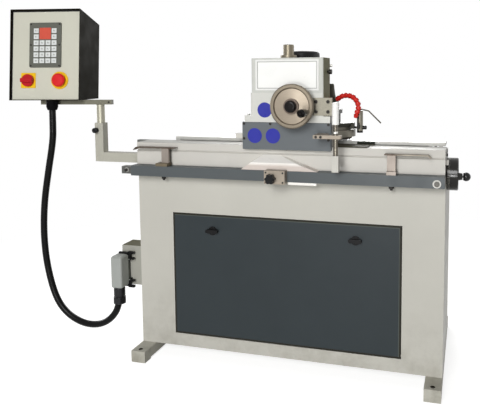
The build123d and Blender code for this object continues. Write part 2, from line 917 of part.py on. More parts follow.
def turned_y(profile, x, z):
    """Turned piece: profile is a list of (radius, y) points, turned about a line along Y."""
    face = Plane.XY * make_face(Polyline(*profile, close=True))
    return Pos(x, 0, z) * revolve(face, axis=Axis.Y)


def turned_z(profile, x, y):
    """Turned piece: profile is a list of (radius, z) points, turned about a line along Z."""
    face = Plane.XZ * make_face(Polyline(*profile, close=True))
    return Pos(x, y, 0) * revolve(face, axis=Axis.Z)


def hexagon_z(x, y, flats, z0, z1):
    """Hexagon bar along Z."""
    face = Pos(x, y) * RegularPolygon(flats / math.sqrt(3), 6)
    return Pos(0, 0, z0) * extrude(face, amount=z1 - z0, dir=(0, 0, 1))


def slanted(thickness, run, rise):
    """Thickness of a leaning sheet, measured level: it leans by run over rise."""
    return thickness * math.hypot(run, rise) / rise


def save(name, *shapes):
    """Writes one node; several shapes become separate solids of it."""
    solids = [solid for shape in shapes for solid in shape.solids()]
    if len(solids) == 1:
        export_step(solids[0], f"parts/{name}.step")
        return
    export_step(Compound(children=solids), f"parts/{name}.step")


def swivelled(shape):
    """Places a shape drawn round the pendant post, with the pendant square to the bed, at its rest angle."""
    return Pos(POST_X, POST_Y, 0) * Rot(0, 0, SWIVEL_DEG) * shape


def foot_parts():
    half = BEAM_W / 2
    tube_end = BEAM_END - CAP_T
    bore_half = half - BEAM_WALL
    plug_half = bore_half - SEAT_GAP
    bore_z0 = PAD_H + BEAM_WALL
    bore_z1 = BEAM_TOP - BEAM_WALL
    pieces = []
    for side in (-1, 1):
        x = side * BEAM_X
        tube = block(x - half, x + half, -tube_end, tube_end, PAD_H, BEAM_TOP)
        tube -= block(x - bore_half, x + bore_half, -BEAM_END, BEAM_END, bore_z0, bore_z1)
        for end in (-1, 1):
            hole = rod_z(x, end * (BEAM_END - ANCHOR_EDGE), ANCHOR_R, -OVER, BEAM_TOP + OVER)
            tube -= hole
            outer = end * BEAM_END
            inner = end * tube_end
            cap = block(x - half, x + half, outer, inner, PAD_H, BEAM_TOP)
            plug_end = inner - end * CAP_PLUG
            cap += block(x - plug_half, x + plug_half, inner, plug_end, bore_z0 + SEAT_GAP, bore_z1 - SEAT_GAP)
            pad = block(x - half, x + half, outer, outer - end * PAD_L, 0, PAD_H)
            pieces += [cap - hole, pad - hole]
        pieces.append(tube)
    save("floor_beams", *pieces)


def cabinet_parts():
    inner_x = HALF_W - SHEET
    inner_y = HALF_D - SHEET
    left = block(-HALF_W, -inner_x, -HALF_D, HALF_D, BEAM_TOP, CABINET_TOP)
    right = block(inner_x, HALF_W, -HALF_D, HALF_D, BEAM_TOP, CABINET_TOP)
    back = block(-inner_x, inner_x, inner_y, HALF_D, BEAM_TOP, CABINET_TOP)
    floor = block(-inner_x, inner_x, -inner_y, inner_y, BEAM_TOP, BEAM_TOP + SHEET)
    roof = block(-inner_x, inner_x, -inner_y, inner_y, CABINET_TOP - SHEET, CABINET_TOP)
    roof -= rod_z(0, DRAIN_Y, DRAIN_R, CABINET_TOP - SHEET - OVER, CABINET_TOP + OVER)
    save("cabinet_shell", left, right, back, floor, roof)

    front = block(-inner_x, inner_x, -HALF_D, -inner_y, BEAM_TOP, CABINET_TOP)
    front -= block(-OPEN_X, OPEN_X, -HALF_D - OVER, -inner_y + OVER, OPEN_Z0, OPEN_Z1)
    pins = []
    for side in (-1, 1):
        lug_x = side * (OPEN_X + LUG_GAP)
        lug_end = lug_x + side * LUG_T
        front += block(lug_x, lug_end, -inner_y, -inner_y + LUG_D, OPEN_Z0, OPEN_Z0 + LUG_H)
        front -= rod_x(HINGE_Y, HINGE_Z, HINGE_R, lug_x - side * OVER, lug_end + side * OVER)
        pins.append(rod_x(HINGE_Y, HINGE_Z, HINGE_R, side * (DOOR_X - HINGE_REACH), lug_end))
        keeper_x = side * LATCH_SPACING / 2
        keeper_z = OPEN_Z1 + KEEPER_UP
        front += block(
            keeper_x - KEEPER_W / 2, keeper_x + KEEPER_W / 2,
            -inner_y, KEEPER_BACK,
            keeper_z, keeper_z + KEEPER_H,
        )
    save("cabinet_front", front, *pins)


def door_parts():
    skin = DOOR_FRONT + DOOR_SHEET
    door = block(-DOOR_X, DOOR_X, DOOR_FRONT, DOOR_BACK, DOOR_Z0, DOOR_Z1)
    door -= block(
        -DOOR_X + DOOR_SHEET, DOOR_X - DOOR_SHEET,
        skin, DOOR_BACK + OVER,
        DOOR_Z0 + DOOR_SHEET, DOOR_Z1 - DOOR_SHEET,
    )
    tongue_front = max(KEEPER_BACK, DOOR_BACK) + TONGUE_GAP
    tongue_back = tongue_front + TONGUE_T
    for name, side in (("latch_left", -1), ("latch_right", 1)):
        edge = side * DOOR_X
        reach = HINGE_REACH + OVER
        door -= rod_x(HINGE_Y, HINGE_Z, HINGE_R + BORE_GAP, edge - reach, edge + reach)
        x = side * LATCH_SPACING / 2
        door -= rod_y(x, LATCH_Z, LATCH_SHAFT_R + BORE_GAP, DOOR_FRONT - OVER, skin + OVER)
        hub_front = DOOR_FRONT - LATCH_T
        latch = rod_y(x, LATCH_Z, LATCH_R, hub_front, DOOR_FRONT - SEAT_GAP)
        wing = block(
            x - WING_L / 2, x + WING_L / 2,
            hub_front - WING_H, hub_front,
            LATCH_Z - WING_W / 2, LATCH_Z + WING_W / 2,
        )
        latch += fillet(wing.edges().filter_by(Axis.Y), WING_FILLET)
        latch += rod_y(x, LATCH_Z, LATCH_SHAFT_R, DOOR_FRONT - SEAT_GAP, tongue_back)
        latch += block(
            x - TONGUE_TAIL, x + TONGUE_L,
            tongue_front, tongue_back,
            LATCH_Z - TONGUE_W / 2, LATCH_Z + TONGUE_W / 2,
        )
        save(name, latch)
    save("cabinet_door", door)


def bed_parts():
    inner_x = BED_X - BED_WALL
    inner_y0 = BED_FRONT + BED_WALL
    inner_y1 = BED_BACK - BED_WALL
    floor_z = CABINET_TOP + BED_FLOOR
    front = block(-BED_X, BED_X, BED_FRONT, inner_y0, CABINET_TOP, SEAM_Z)
    back = block(-BED_X, BED_X, inner_y1, BED_BACK, CABINET_TOP, SEAM_Z)
    left = block(-BED_X, -inner_x, inner_y0, inner_y1, CABINET_TOP, SEAM_Z)
    right = block(inner_x, BED_X, inner_y0, inner_y1, CABINET_TOP, SEAM_Z)
    right -= rod_x(PIVOT_Y, WHEEL_Z, DRUM_SHAFT_R + BORE_GAP, inner_x - OVER, BED_X + OVER)
    notch_y0 = PIVOT_Y + NOTCH_FRONT
    notch_y1 = TABLE_Y1 + NOTCH_BACK
    right -= block(inner_x - OVER, BED_X + OVER, notch_y0, notch_y1, SEAM_Z - NOTCH_DEPTH, SEAM_Z + OVER)
    lug_y0 = BED_FRONT + INDEX_IN
    lug_z1 = SEAM_Z - INDEX_DOWN
    right += block(inner_x, BED_X + INDEX_OUT, lug_y0, lug_y0 + INDEX_D, lug_z1 - INDEX_H, lug_z1)
    floor = block(-inner_x, inner_x, inner_y0, inner_y1, CABINET_TOP, floor_z)
    floor -= rod_z(0, DRAIN_Y, DRAIN_R, CABINET_TOP - OVER, floor_z + OVER)
    save("bed_frame", front, back, left, right, floor)

    way = block(-BED_X, BED_X, BED_FRONT, WAY_BACK, SEAM_Z, BED_TOP)
    groove_y = BED_FRONT + GROOVE_D
    way -= block(-BED_X - OVER, BED_X + OVER, BED_FRONT - OVER, groove_y, SEAM_Z - OVER, SEAM_Z + GROOVE_H)
    end_stop = block(-BED_X - END_STOP_OUT, -BED_X, WAY_BACK - END_STOP_D, WAY_BACK, SEAM_Z, BED_TOP)
    save("front_way", way, end_stop)

    rear = block(-BED_X, BED_X, BED_BACK - REAR_D, BED_BACK, SEAM_Z, SEAM_Z + REAR_H)
    bearing_y0 = WAY_BACK + BEARING_GAP
    bearing_y1 = bearing_y0 + BEARING_D
    bearing_z1 = SEAM_Z + BEARING_H
    left_x = -BED_X + LEFT_BEARING_L
    right_x = BED_X - RIGHT_BEARING_L
    bore_r = PIVOT_R + BORE_GAP
    bore_x = left_x - PIVOT_SEAT - PIVOT_ROOM
    left = block(-BED_X, left_x, bearing_y0, bearing_y1, SEAM_Z, bearing_z1)
    left -= rod_x(PIVOT_Y, PIVOT_Z, bore_r, bore_x, left_x + OVER)
    right = block(right_x, BED_X, bearing_y0, bearing_y1, SEAM_Z, bearing_z1)
    right -= rod_x(PIVOT_Y, PIVOT_Z, bore_r, right_x - OVER, BED_X + OVER)
    pointer = block(
        BED_X, BED_X + POINTER_T,
        PIVOT_Y - POINTER_W / 2, PIVOT_Y + POINTER_W / 2,
        SEAM_Z - POINTER_DOWN, SEAM_Z + POINTER_UP,
    )
    save("rear_beam", rear, left, right, pointer)


def table_parts():
    table = block(TABLE_X0, TABLE_X1, TABLE_Y0, TABLE_Y1, TABLE_BOTTOM, TABLE_TOP)
    web_y0 = TABLE_Y0 + WEB_IN
    web_x1 = MIDDLE_HANGER_X1 - HANGER_T / 2
    table += block(TABLE_X0 + WEB_END, web_x1, web_y0, web_y0 + WEB_D, TABLE_BOTTOM - WEB_H, TABLE_BOTTOM)
    left_hanger_x1 = TABLE_X0 + WEB_END + OVER
    hangers = ((TABLE_X0, left_hanger_x1), (MIDDLE_HANGER_X1 - HANGER_T, MIDDLE_HANGER_X1),
               (RIGHT_HANGER_X1 - HANGER_T, RIGHT_HANGER_X1))
    for x0, x1 in hangers:
        table += block(x0, x1, TABLE_Y0, web_y0, PIVOT_Z - HANGER_DROP, TABLE_BOTTOM)
    left_end = -BED_X + LEFT_BEARING_L - PIVOT_SEAT
    table += rod_x(PIVOT_Y, PIVOT_Z, PIVOT_R, left_end, left_hanger_x1)
    table += rod_x(PIVOT_Y, PIVOT_Z, PIVOT_R, MIDDLE_HANGER_X1 - HANGER_T, BED_X - PIVOT_END)
    table += rod_x(PIVOT_Y, PIVOT_Z, TABLE_SPROCKET_R, CHAIN_X0, CHAIN_X1)
    hole_count = int((TABLE_X1 - TABLE_X0 - 2 * CLAMP_HOLE_EDGE) / CLAMP_HOLE_PITCH) + 1
    for k in range(hole_count):
        x = TABLE_X0 + CLAMP_HOLE_EDGE + k * CLAMP_HOLE_PITCH
        table -= rod_z(x, TABLE_Y1 - CLAMP_HOLE_BACK, CLAMP_HOLE_R, TABLE_BOTTOM - OVER, TABLE_TOP + OVER)
    save("knife_table", table)

    top = (PIVOT_Y, PIVOT_Z)
    bottom = (PIVOT_Y, WHEEL_Z)
    top_r = TABLE_SPROCKET_R + RUN_GAP
    bottom_r = HAND_SPROCKET_R + RUN_GAP
    chain = loop_x(top, top_r + CHAIN_T, bottom, bottom_r + CHAIN_T, CHAIN_X0, CHAIN_X1)
    chain -= loop_x(top, top_r, bottom, bottom_r, CHAIN_X0 - OVER, CHAIN_X1 + OVER)
    save("swivel_chain", chain)


def table_wheel_parts():
    recess_x = DRUM_X1 - DRUM_RECESS
    wheel = rod_x(PIVOT_Y, WHEEL_Z, DRUM_R, DRUM_X0, DRUM_X1)
    wheel = chamfer(wheel.edges().filter_by(GeomType.CIRCLE), DRUM_CHAMFER)
    wheel -= rod_x(PIVOT_Y, WHEEL_Z, DRUM_RECESS_R, recess_x, DRUM_X1 + OVER)
    wheel += rod_x(PIVOT_Y, WHEEL_Z, DRUM_HUB_R, recess_x - OVER, DRUM_X1 + DRUM_HUB_OUT)
    wheel += rod_x(PIVOT_Y, WHEEL_Z, DRUM_SHAFT_R, CHAIN_X0 - DRUM_SHAFT_IN, DRUM_X0 + OVER)
    wheel += rod_x(PIVOT_Y, WHEEL_Z, HAND_SPROCKET_R, CHAIN_X0, CHAIN_X1)
    y = PIVOT_Y - CRANK_R
    z = WHEEL_Z - CRANK_DROP
    boss_x = recess_x + CRANK_BOSS_L
    pin_x = boss_x + CRANK_PIN_L
    neck = Plane(origin=((recess_x + boss_x) / 2, y, z), z_dir=(1, 0, 0))
    wheel += neck * Cone(CRANK_BOSS_R, CRANK_NECK_R, CRANK_BOSS_L)
    wheel += rod_x(y, z, CRANK_PIN_R, boss_x - OVER, pin_x)
    save("table_handwheel", wheel)

    flat_x = boss_x + BALL_FLAT
    ball = Pos(boss_x + BALL_OUT, y, z) * Sphere(BALL_R)
    ball -= rod_x(y, z, CRANK_PIN_R + BORE_GAP, boss_x, pin_x + SEAT_GAP)
    ball -= block(boss_x - BALL_R, flat_x, y - BALL_R, y + BALL_R, z - BALL_R, z + BALL_R)
    save("table_handle", ball)


def rail_parts():
    back = BED_FRONT
    rail = block(-HALF_W, HALF_W, RAIL_FRONT, back, RAIL_Z0, RAIL_Z1)
    skin = RAIL_FRONT + RAIL_WALL
    rail -= block(-HALF_W - OVER, HALF_W + OVER, skin, back + OVER, RAIL_Z0 + RAIL_WALL, RAIL_Z1 - RAIL_WALL)
    slot_y0 = DOG_BOLT_Y - SLOT_W / 2
    slot_y1 = DOG_BOLT_Y + SLOT_W / 2
    for side in (-1, 1):
        slot_out = side * (HALF_W - SLOT_END)
        rail -= block(side * SLOT_IN, slot_out, slot_y0, slot_y1, RAIL_Z0 - OVER, RAIL_Z1 + OVER)
    rail -= rod_y(KNOB_X, KNOB_Z, KNOB_PIN_R + SEAT_GAP, RAIL_FRONT - OVER, skin + OVER)

    end_y0 = RAIL_FRONT + END_SINK
    end_z0 = RAIL_Z0 + END_UP
    end = block(-HALF_W - END_L, -HALF_W, end_y0, end_y0 + END_D, end_z0, end_z0 + END_H)
    x = -HALF_W - END_BOLT_OUT
    z = RAIL_Z0 + END_BOLT_UP
    left_washer = rod_y(x, z, END_WASHER_R, end_y0 - END_WASHER_T, end_y0)
    left_bolt = rod_y(x, z, END_BOLT_R, end_y0 - END_WASHER_T - END_BOLT_H, end_y0 - END_WASHER_T)
    x = HALF_W - RIGHT_BOLT_IN
    z = RAIL_Z0 + RIGHT_BOLT_UP
    washer_y = RAIL_FRONT - RIGHT_WASHER_T
    bolt_y = washer_y - RIGHT_BOLT_H
    right_washer = rod_y(x, z, RIGHT_WASHER_R, washer_y, RAIL_FRONT)
    right_bolt = rod_y(x, z, RIGHT_BOLT_R, bolt_y, washer_y)
    right_bolt -= rod_y(x, z, RIGHT_SOCKET_R, bolt_y - OVER, bolt_y + RIGHT_SOCKET_DEPTH)
    save("dog_rail", rail, end, left_washer, left_bolt, right_washer, right_bolt)


def chute_parts():
    front = BED_FRONT - CHUTE_D
    top = SEAM_Z - SEAT_GAP
    foot = RAIL_Z1 + SEAT_GAP
    knee = foot + CHUTE_KNEE
    slope = (top - knee) / CHUTE_D
    drop = slanted(CHUTE_T, top - knee, CHUTE_D)
    inner_front = front + CHUTE_T
    inner_back = BED_FRONT + OVER
    profile = [(BED_FRONT, top), (front, knee), (front, foot), (BED_FRONT, foot)]
    inner = [
        (inner_back, top + OVER * slope - drop),
        (inner_front, knee + CHUTE_T * slope - drop),
        (inner_front, foot - OVER),
        (inner_back, foot - OVER),
    ]
    rise = SEAM_Z - foot
    left_t = slanted(CHUTE_T, CHUTE_TOP_X0 - CHUTE_X0, rise)
    right_t = slanted(CHUTE_T, CHUTE_X1 - CHUTE_TOP_X1, rise)
    shape = [(CHUTE_X0, foot), (CHUTE_X1, foot), (CHUTE_TOP_X1, SEAM_Z), (CHUTE_TOP_X0, SEAM_Z)]
    hollow = [
        (CHUTE_X0 + left_t, foot),
        (CHUTE_X1 - right_t, foot),
        (CHUTE_TOP_X1 - right_t, SEAM_Z),
        (CHUTE_TOP_X0 + left_t, SEAM_Z),
    ]
    chute = prism_x(profile, CHUTE_X0, CHUTE_X1) & prism_y(shape, front, BED_FRONT)
    chute -= prism_x(inner, CHUTE_X0, CHUTE_X1) & prism_y(hollow, front, inner_back)
    lip_x0 = BRACKET_X0 + BRACKET_W + DRIP_GAP
    drip_lip = block(lip_x0, CHUTE_X1, RAIL_FRONT, RAIL_FRONT + DRIP_D, RAIL_Z0 - DRIP_T, RAIL_Z0)
    drip_lip += block(lip_x0, CHUTE_X1, RAIL_FRONT, RAIL_FRONT + DRIP_T, RAIL_Z0 - DRIP_H, RAIL_Z0)
    save("coolant_chute", chute, drip_lip)


def bracket_parts():
    x1 = BRACKET_X0 + BRACKET_W
    z0 = RAIL_Z0 - BRACKET_LOW
    z1 = z0 + BRACKET_H
    t = BRACKET_WALL
    case = block(BRACKET_X0, x1, BRACKET_FRONT, RAIL_FRONT, z0, z1)
    case -= block(BRACKET_X0 + t, x1 - t, BRACKET_FRONT + t, RAIL_FRONT + OVER, z0 + t, z1 - t)
    case -= rod_y(KNOB_X, KNOB_Z, KNOB_PIN_R + BORE_GAP, BRACKET_FRONT - OVER, BRACKET_FRONT + t + OVER)
    screws = []
    for x in (BRACKET_X0 + BRACKET_SCREW_IN, x1 - BRACKET_SCREW_IN):
        for z in (z0 + BRACKET_SCREW_IN, z1 - BRACKET_SCREW_IN):
            screws.append(rod_y(x, z, BRACKET_SCREW_R, BRACKET_FRONT - BRACKET_SCREW_H, BRACKET_FRONT))
    save("centre_bracket", case, *screws)

    knob_back = BRACKET_FRONT - KNOB_STANDOFF
    knob_front = knob_back - KNOB_T
    knob = rod_y(KNOB_X, KNOB_Z, KNOB_R, knob_front, knob_back)
    for k in range(KNOB_LOBES):
        a = 2 * math.pi * k / KNOB_LOBES
        x = KNOB_X + LOBE_AT * math.cos(a)
        z = KNOB_Z + LOBE_AT * math.sin(a)
        knob += rod_y(x, z, LOBE_R, knob_front + LOBE_SETBACK, knob_back - LOBE_SETBACK)
    knob += rod_y(KNOB_X, KNOB_Z, KNOB_PIN_R, knob_back, RAIL_FRONT + KNOB_PIN_IN)
    save("bracket_knob", knob)


def trip_dog(name, outer_x, side, foot_out, strip_in, bolt_in):
    """One dog; outer_x is its bar's outer side, and side is 1 where that looks to +X."""
    foot_z = RAIL_Z1 + RUN_GAP
    bar_y = RAIL_FRONT + DOG_BAR_BACK
    bar_top = RAIL_Z1 + DOG_BAR_H
    inner_x = outer_x - side * DOG_BAR_W
    dog = block(outer_x, inner_x, bar_y, bar_y + DOG_BAR_D, foot_z, bar_top)
    foot_y = RAIL_FRONT - DOG_FOOT_FRONT
    foot_inner = inner_x - side * DOG_FOOT_IN
    foot_outer = outer_x + side * foot_out
    dog += block(foot_outer, foot_inner, foot_y, foot_y + DOG_FOOT_D, foot_z, foot_z + DOG_FOOT_T)
    strip_y = bar_y - STRIP_FRONT
    strip_z1 = bar_top + STRIP_UP
    strip_z0 = strip_z1 - STRIP_T
    strip_end = outer_x + side * STRIP_OUT
    tip = strip_end + side * TIP_L
    dog += block(strip_end, outer_x - side * strip_in, strip_y, strip_y + STRIP_D, strip_z0, strip_z1)
    bend = [
        (strip_end, strip_z0), (strip_end, strip_z1),
        (tip, strip_z1 - TIP_DROP), (tip, strip_z0 - TIP_DROP),
    ]
    dog += prism_y(bend, strip_y, strip_y + STRIP_D)
    bolt_x = outer_x - side * bolt_in
    nut_top = RAIL_Z0 - DOG_NUT_GAP
    dog += rod_z(bolt_x, DOG_BOLT_Y, DOG_BOLT_R, RAIL_Z0 - DOG_BOLT_END, RAIL_Z1 + DOG_BOLT_SEAT)
    dog += hexagon_z(bolt_x, DOG_BOLT_Y, DOG_NUT_FLATS, nut_top - DOG_NUT_H, nut_top)
    save(name, dog)


def coolant_parts():
    t = TANK_WALL
    x1 = TANK_X0 + TANK_W
    tank = block(TANK_X0, x1, TANK_Y0, TANK_Y1, TANK_Z0, TANK_Z1)
    tank -= block(TANK_X0 + t, x1 - t, TANK_Y0 + t, TANK_Y1 - t, TANK_Z0 + t, TANK_Z1 + OVER)
    save("coolant_tank", tank)

    pump_x = TANK_X0 + PUMP_IN
    pump_y = TANK_Y1 - PUMP_BACK
    half = PUMP_PLATE_W / 2
    plate_top = TANK_Z1 + PUMP_PLATE_T
    outlet_z = plate_top + OUTLET_UP
    pump = block(pump_x - half, pump_x + half, TANK_Y0, TANK_Y1, TANK_Z1, plate_top)
    pump += rod_z(pump_x, pump_y, PUMP_SUCTION_R, TANK_Z0 + PUMP_SUCTION_UP, TANK_Z1)
    pump += rod_z(pump_x, pump_y, PUMP_R, plate_top, plate_top + PUMP_H)
    pump += rod_x(pump_y, outlet_z, OUTLET_R, pump_x, pump_x + PUMP_R + OUTLET_L)
    save("coolant_pump", pump)


def carriage_parts():
    deep_x = CARRIAGE_X0 + SADDLE_DEEP_W
    z0 = BED_TOP + SEAT_GAP
    saddle = block(CARRIAGE_X0, deep_x, SADDLE_FRONT, SADDLE_BACK, z0, SADDLE_TOP)
    saddle += block(deep_x, APRON_X1, SADDLE_FRONT, SADDLE_FRONT + SADDLE_SHALLOW_D, z0, SADDLE_TOP)
    saddle += block(CARRIAGE_X0, deep_x, WAY_BACK + RUN_GAP, SADDLE_BACK, BED_TOP - HOOK_DROP, z0)
    wiper_y = SADDLE_FRONT + WIPER_BACK
    wiper_z = BED_TOP + WIPER_UP
    saddle += block(CARRIAGE_X0 - WIPER_L, CARRIAGE_X0, wiper_y, wiper_y + WIPER_D, wiper_z, wiper_z + WIPER_H)
    shoe_x1 = APRON_X1 + SHOE_L
    shoe_y0 = SADDLE_FRONT + SHOE_IN
    shoe_y1 = shoe_y0 + SHOE_D
    shoe = block(APRON_X1, shoe_x1, shoe_y0, shoe_y1, z0, z0 + SHOE_T)
    lip_x1 = shoe_x1 + LIP_OUT
    shoe += block(lip_x1 - LIP_L, lip_x1, shoe_y1 - LIP_IN, shoe_y1 + LIP_BACK, z0, z0 + LIP_H)
    save("saddle", saddle, shoe)

    pocket_x = CARRIAGE_X0 + SWITCH_IN
    pocket_top = APRON_BOTTOM + POCKET_H
    apron = block(CARRIAGE_X0, APRON_X1, APRON_FRONT, SADDLE_FRONT, APRON_BOTTOM, SADDLE_TOP)
    apron -= block(
        pocket_x - POCKET_ROOM, pocket_x + SWITCH_W + POCKET_ROOM,
        APRON_FRONT + POCKET_SKIN, SADDLE_FRONT + OVER,
        APRON_BOTTOM - OVER, pocket_top,
    )
    places = [(x, SADDLE_TOP - APRON_SCREW_DOWN) for x in APRON_SCREWS_IN]
    places += [(x, SADDLE_TOP - LOW_SCREW_DOWN) for x in (APRON_SCREWS_IN[0], APRON_SCREWS_IN[-1])]
    screws = []
    for x, z in places:
        screws.append(rod_y(CARRIAGE_X0 + x, z, APRON_SCREW_R, APRON_FRONT - APRON_SCREW_H, APRON_FRONT))
    save("apron", apron, *screws)

    switch_y = APRON_FRONT + SWITCH_SINK
    switch_z = pocket_top - SWITCH_H
    middle = pocket_x + SWITCH_W / 2
    switch = block(pocket_x, pocket_x + SWITCH_W, switch_y, switch_y + SWITCH_D, switch_z, pocket_top)
    arm_back = switch_y + SWITCH_ARM_T
    arm_half = SWITCH_ARM_W / 2
    switch += block(middle - arm_half, middle + arm_half, switch_y, arm_back, APRON_BOTTOM, switch_z)
    switch += rod_y(middle, APRON_BOTTOM + ROLLER_UP, ROLLER_R, arm_back, arm_back + ROLLER_L)
    save("limit_switch", switch)


def head_parts():
    flange_x0 = HEAD_X0 - FLANGE_SIDE
    flange_x1 = HEAD_X1 + FLANGE_SIDE
    flange_back = HEAD_BACK + FLANGE_BACK
    housing = block(flange_x0, flange_x1, HEAD_FRONT, flange_back, SADDLE_TOP, HEAD_Z0)
    housing -= rod_z(SPINDLE_X, SPINDLE_Y, GUARD_R + GUARD_ROOM, SADDLE_TOP - OVER, HEAD_Z0 + OVER)
    body = block(HEAD_X0, HEAD_X1, HEAD_FRONT, HEAD_BACK, HEAD_Z0, HEAD_Z1)
    body = fillet(body.edges().filter_by(Axis.Z), HEAD_FILLET)
    front_skin = HEAD_FRONT + HEAD_WALL
    back_skin = HEAD_BACK - HEAD_WALL
    body -= block(HEAD_X0 + HEAD_WALL, HEAD_X1 - HEAD_WALL, front_skin, back_skin, HEAD_Z0, HEAD_Z1 + OVER)
    housing += body
    slot_half = ARM_W / 2 + ARM_ROOM
    slot_z0 = ARM_Z0 - ARM_DOWN
    housing -= block(
        SCREW_X - slot_half, SCREW_X + slot_half,
        back_skin - OVER, HEAD_BACK + OVER,
        slot_z0, HEAD_Z1 + OVER,
    )
    feed_bore = FEED_SHAFT_R + BORE_GAP
    housing -= rod_y(FEED_X, FEED_Z, feed_bore, HEAD_FRONT - OVER, front_skin + OVER)
    housing -= rod_y(FEED_X, FEED_Z, feed_bore, back_skin - OVER, HEAD_BACK + OVER)
    housing -= rod_z(SCREW_X, SCREW_Y, SCREW_R + BORE_GAP, HEAD_Z0 - SCREW_SEAT - OVER, HEAD_Z0 + OVER)
    for side in (-1, 1):
        inner_x = SLIDE_X + side * GUIDE_X
        outer_x = inner_x + side * GUIDE_W
        housing += block(inner_x, outer_x, HEAD_BACK, GUIDE_BACK, HEAD_Z0, HEAD_Z1)
        housing += block(inner_x - side * LIP_W, outer_x, LIP_FRONT, GUIDE_BACK, HEAD_Z0, HEAD_Z1)
    pad_x0 = HEAD_X1 - HEAD_PAD_IN
    pad_x1 = HEAD_X1 + HEAD_PAD_OUT
    pad_front = HEAD_FRONT - HEAD_PAD_T
    pad_z0 = HEAD_Z0 + HEAD_PAD_UP
    pad_z1 = pad_z0 + HEAD_PAD_H
    housing += block(pad_x0, pad_x1, pad_front, front_skin, pad_z0, pad_z1)
    bolts = []
    for x in (pad_x0 + PAD_BOLT_IN, pad_x1 - PAD_BOLT_IN):
        for z in (pad_z0 + PAD_BOLT_IN, pad_z1 - PAD_BOLT_IN):
            bolts.append(rod_y(x, z, PAD_BOLT_R, pad_front - PAD_BOLT_H, pad_front))
    for x in (flange_x0 + FLANGE_BOLT_IN, flange_x1 - FLANGE_BOLT_IN):
        bolts.append(rod_z(x, HEAD_FRONT + FLANGE_BOLT_IN, FLANGE_BOLT_R, HEAD_Z0, HEAD_Z0 + FLANGE_BOLT_H))
    save("head_housing", housing, *bolts)


def cover_parts():
    cover = block(COVER_X0, HEAD_X1, HEAD_FRONT, HEAD_BACK, HEAD_Z1, COVER_Z1)
    cover = fillet(cover.edges().filter_by(Axis.Z), HEAD_FILLET)
    t = COVER_WALL
    cover -= block(COVER_X0 + t, HEAD_X1 - t, HEAD_FRONT + t, HEAD_BACK - t, HEAD_Z1 - OVER, COVER_Z1 - t)
    slot_half = ARM_W / 2 + ARM_ROOM
    slot_z1 = ARM_Z0 + ARM_T + HEAD_STROKE + STROKE_ROOM
    cover -= block(
        SCREW_X - slot_half, SCREW_X + slot_half,
        HEAD_BACK - t - OVER, HEAD_BACK + OVER,
        HEAD_Z1 - OVER, slot_z1,
    )
    cover -= rod_z(SCREW_X, SCREW_Y, SCREW_R + RUN_GAP, COVER_Z1 - t - OVER, COVER_Z1 + OVER)
    save("head_cover", cover)

    x0 = COVER_X0 + PLATE_IN
    z0 = HEAD_Z1 + PLATE_UP
    rim = PLATE_RIM
    plate = block(x0, x0 + PLATE_W, HEAD_FRONT - PLATE_T, HEAD_FRONT, z0, z0 + PLATE_H)
    sink_y = HEAD_FRONT - PLATE_T + PLATE_SINK
    plate -= block(
        x0 + rim, x0 + PLATE_W - rim,
        HEAD_FRONT - PLATE_T - OVER, sink_y,
        z0 + rim, z0 + PLATE_H - rim,
    )
    discs = []
    for x in APRON_DISCS_IN:
        z = APRON_BOTTOM + APRON_DISC_UP
        discs.append(rod_y(CARRIAGE_X0 + x, z, APRON_DISC_R, APRON_FRONT - DISC_T, APRON_FRONT))
    head_disc_z = HEAD_Z0 + HEAD_DISC_UP
    discs.append(rod_y(HEAD_X0 + HEAD_DISC_IN, head_disc_z, HEAD_DISC_R, HEAD_FRONT - DISC_T, HEAD_FRONT))
    save("plain_plates", plate, *discs)

    cap_top = COVER_Z1 + BEARING_CAP_H
    cap = rod_z(SCREW_X, SCREW_Y, BEARING_FLANGE_R, COVER_Z1, COVER_Z1 + BEARING_FLANGE_T)
    cap += rod_z(SCREW_X, SCREW_Y, BEARING_R, COVER_Z1, cap_top)
    cap = chamfer(cap.edges().group_by(Axis.Z)[-1], BEARING_CHAMFER)
    cap -= rod_z(SCREW_X, SCREW_Y, SCREW_R + BORE_GAP, COVER_Z1 - OVER, cap_top - BEARING_SKIN)
    fitting = rod_x(HEAD_BACK - FITTING_BACK, HEAD_Z1 + FITTING_UP, FITTING_R, HEAD_X1, HEAD_X1 + FITTING_L)
    knob_y = HEAD_BACK - STOP_KNOB_BACK
    knob_z = HEAD_Z1 + STOP_KNOB_UP
    knob_x = HEAD_X1 + STOP_STEM_L
    knob = rod_x(knob_y, knob_z, STOP_KNOB_R, knob_x, knob_x + STOP_KNOB_L)
    knob += rod_x(knob_y, knob_z, STOP_STEM_R, HEAD_X1, knob_x)
    save("cover_fittings", cap, fitting, knob)


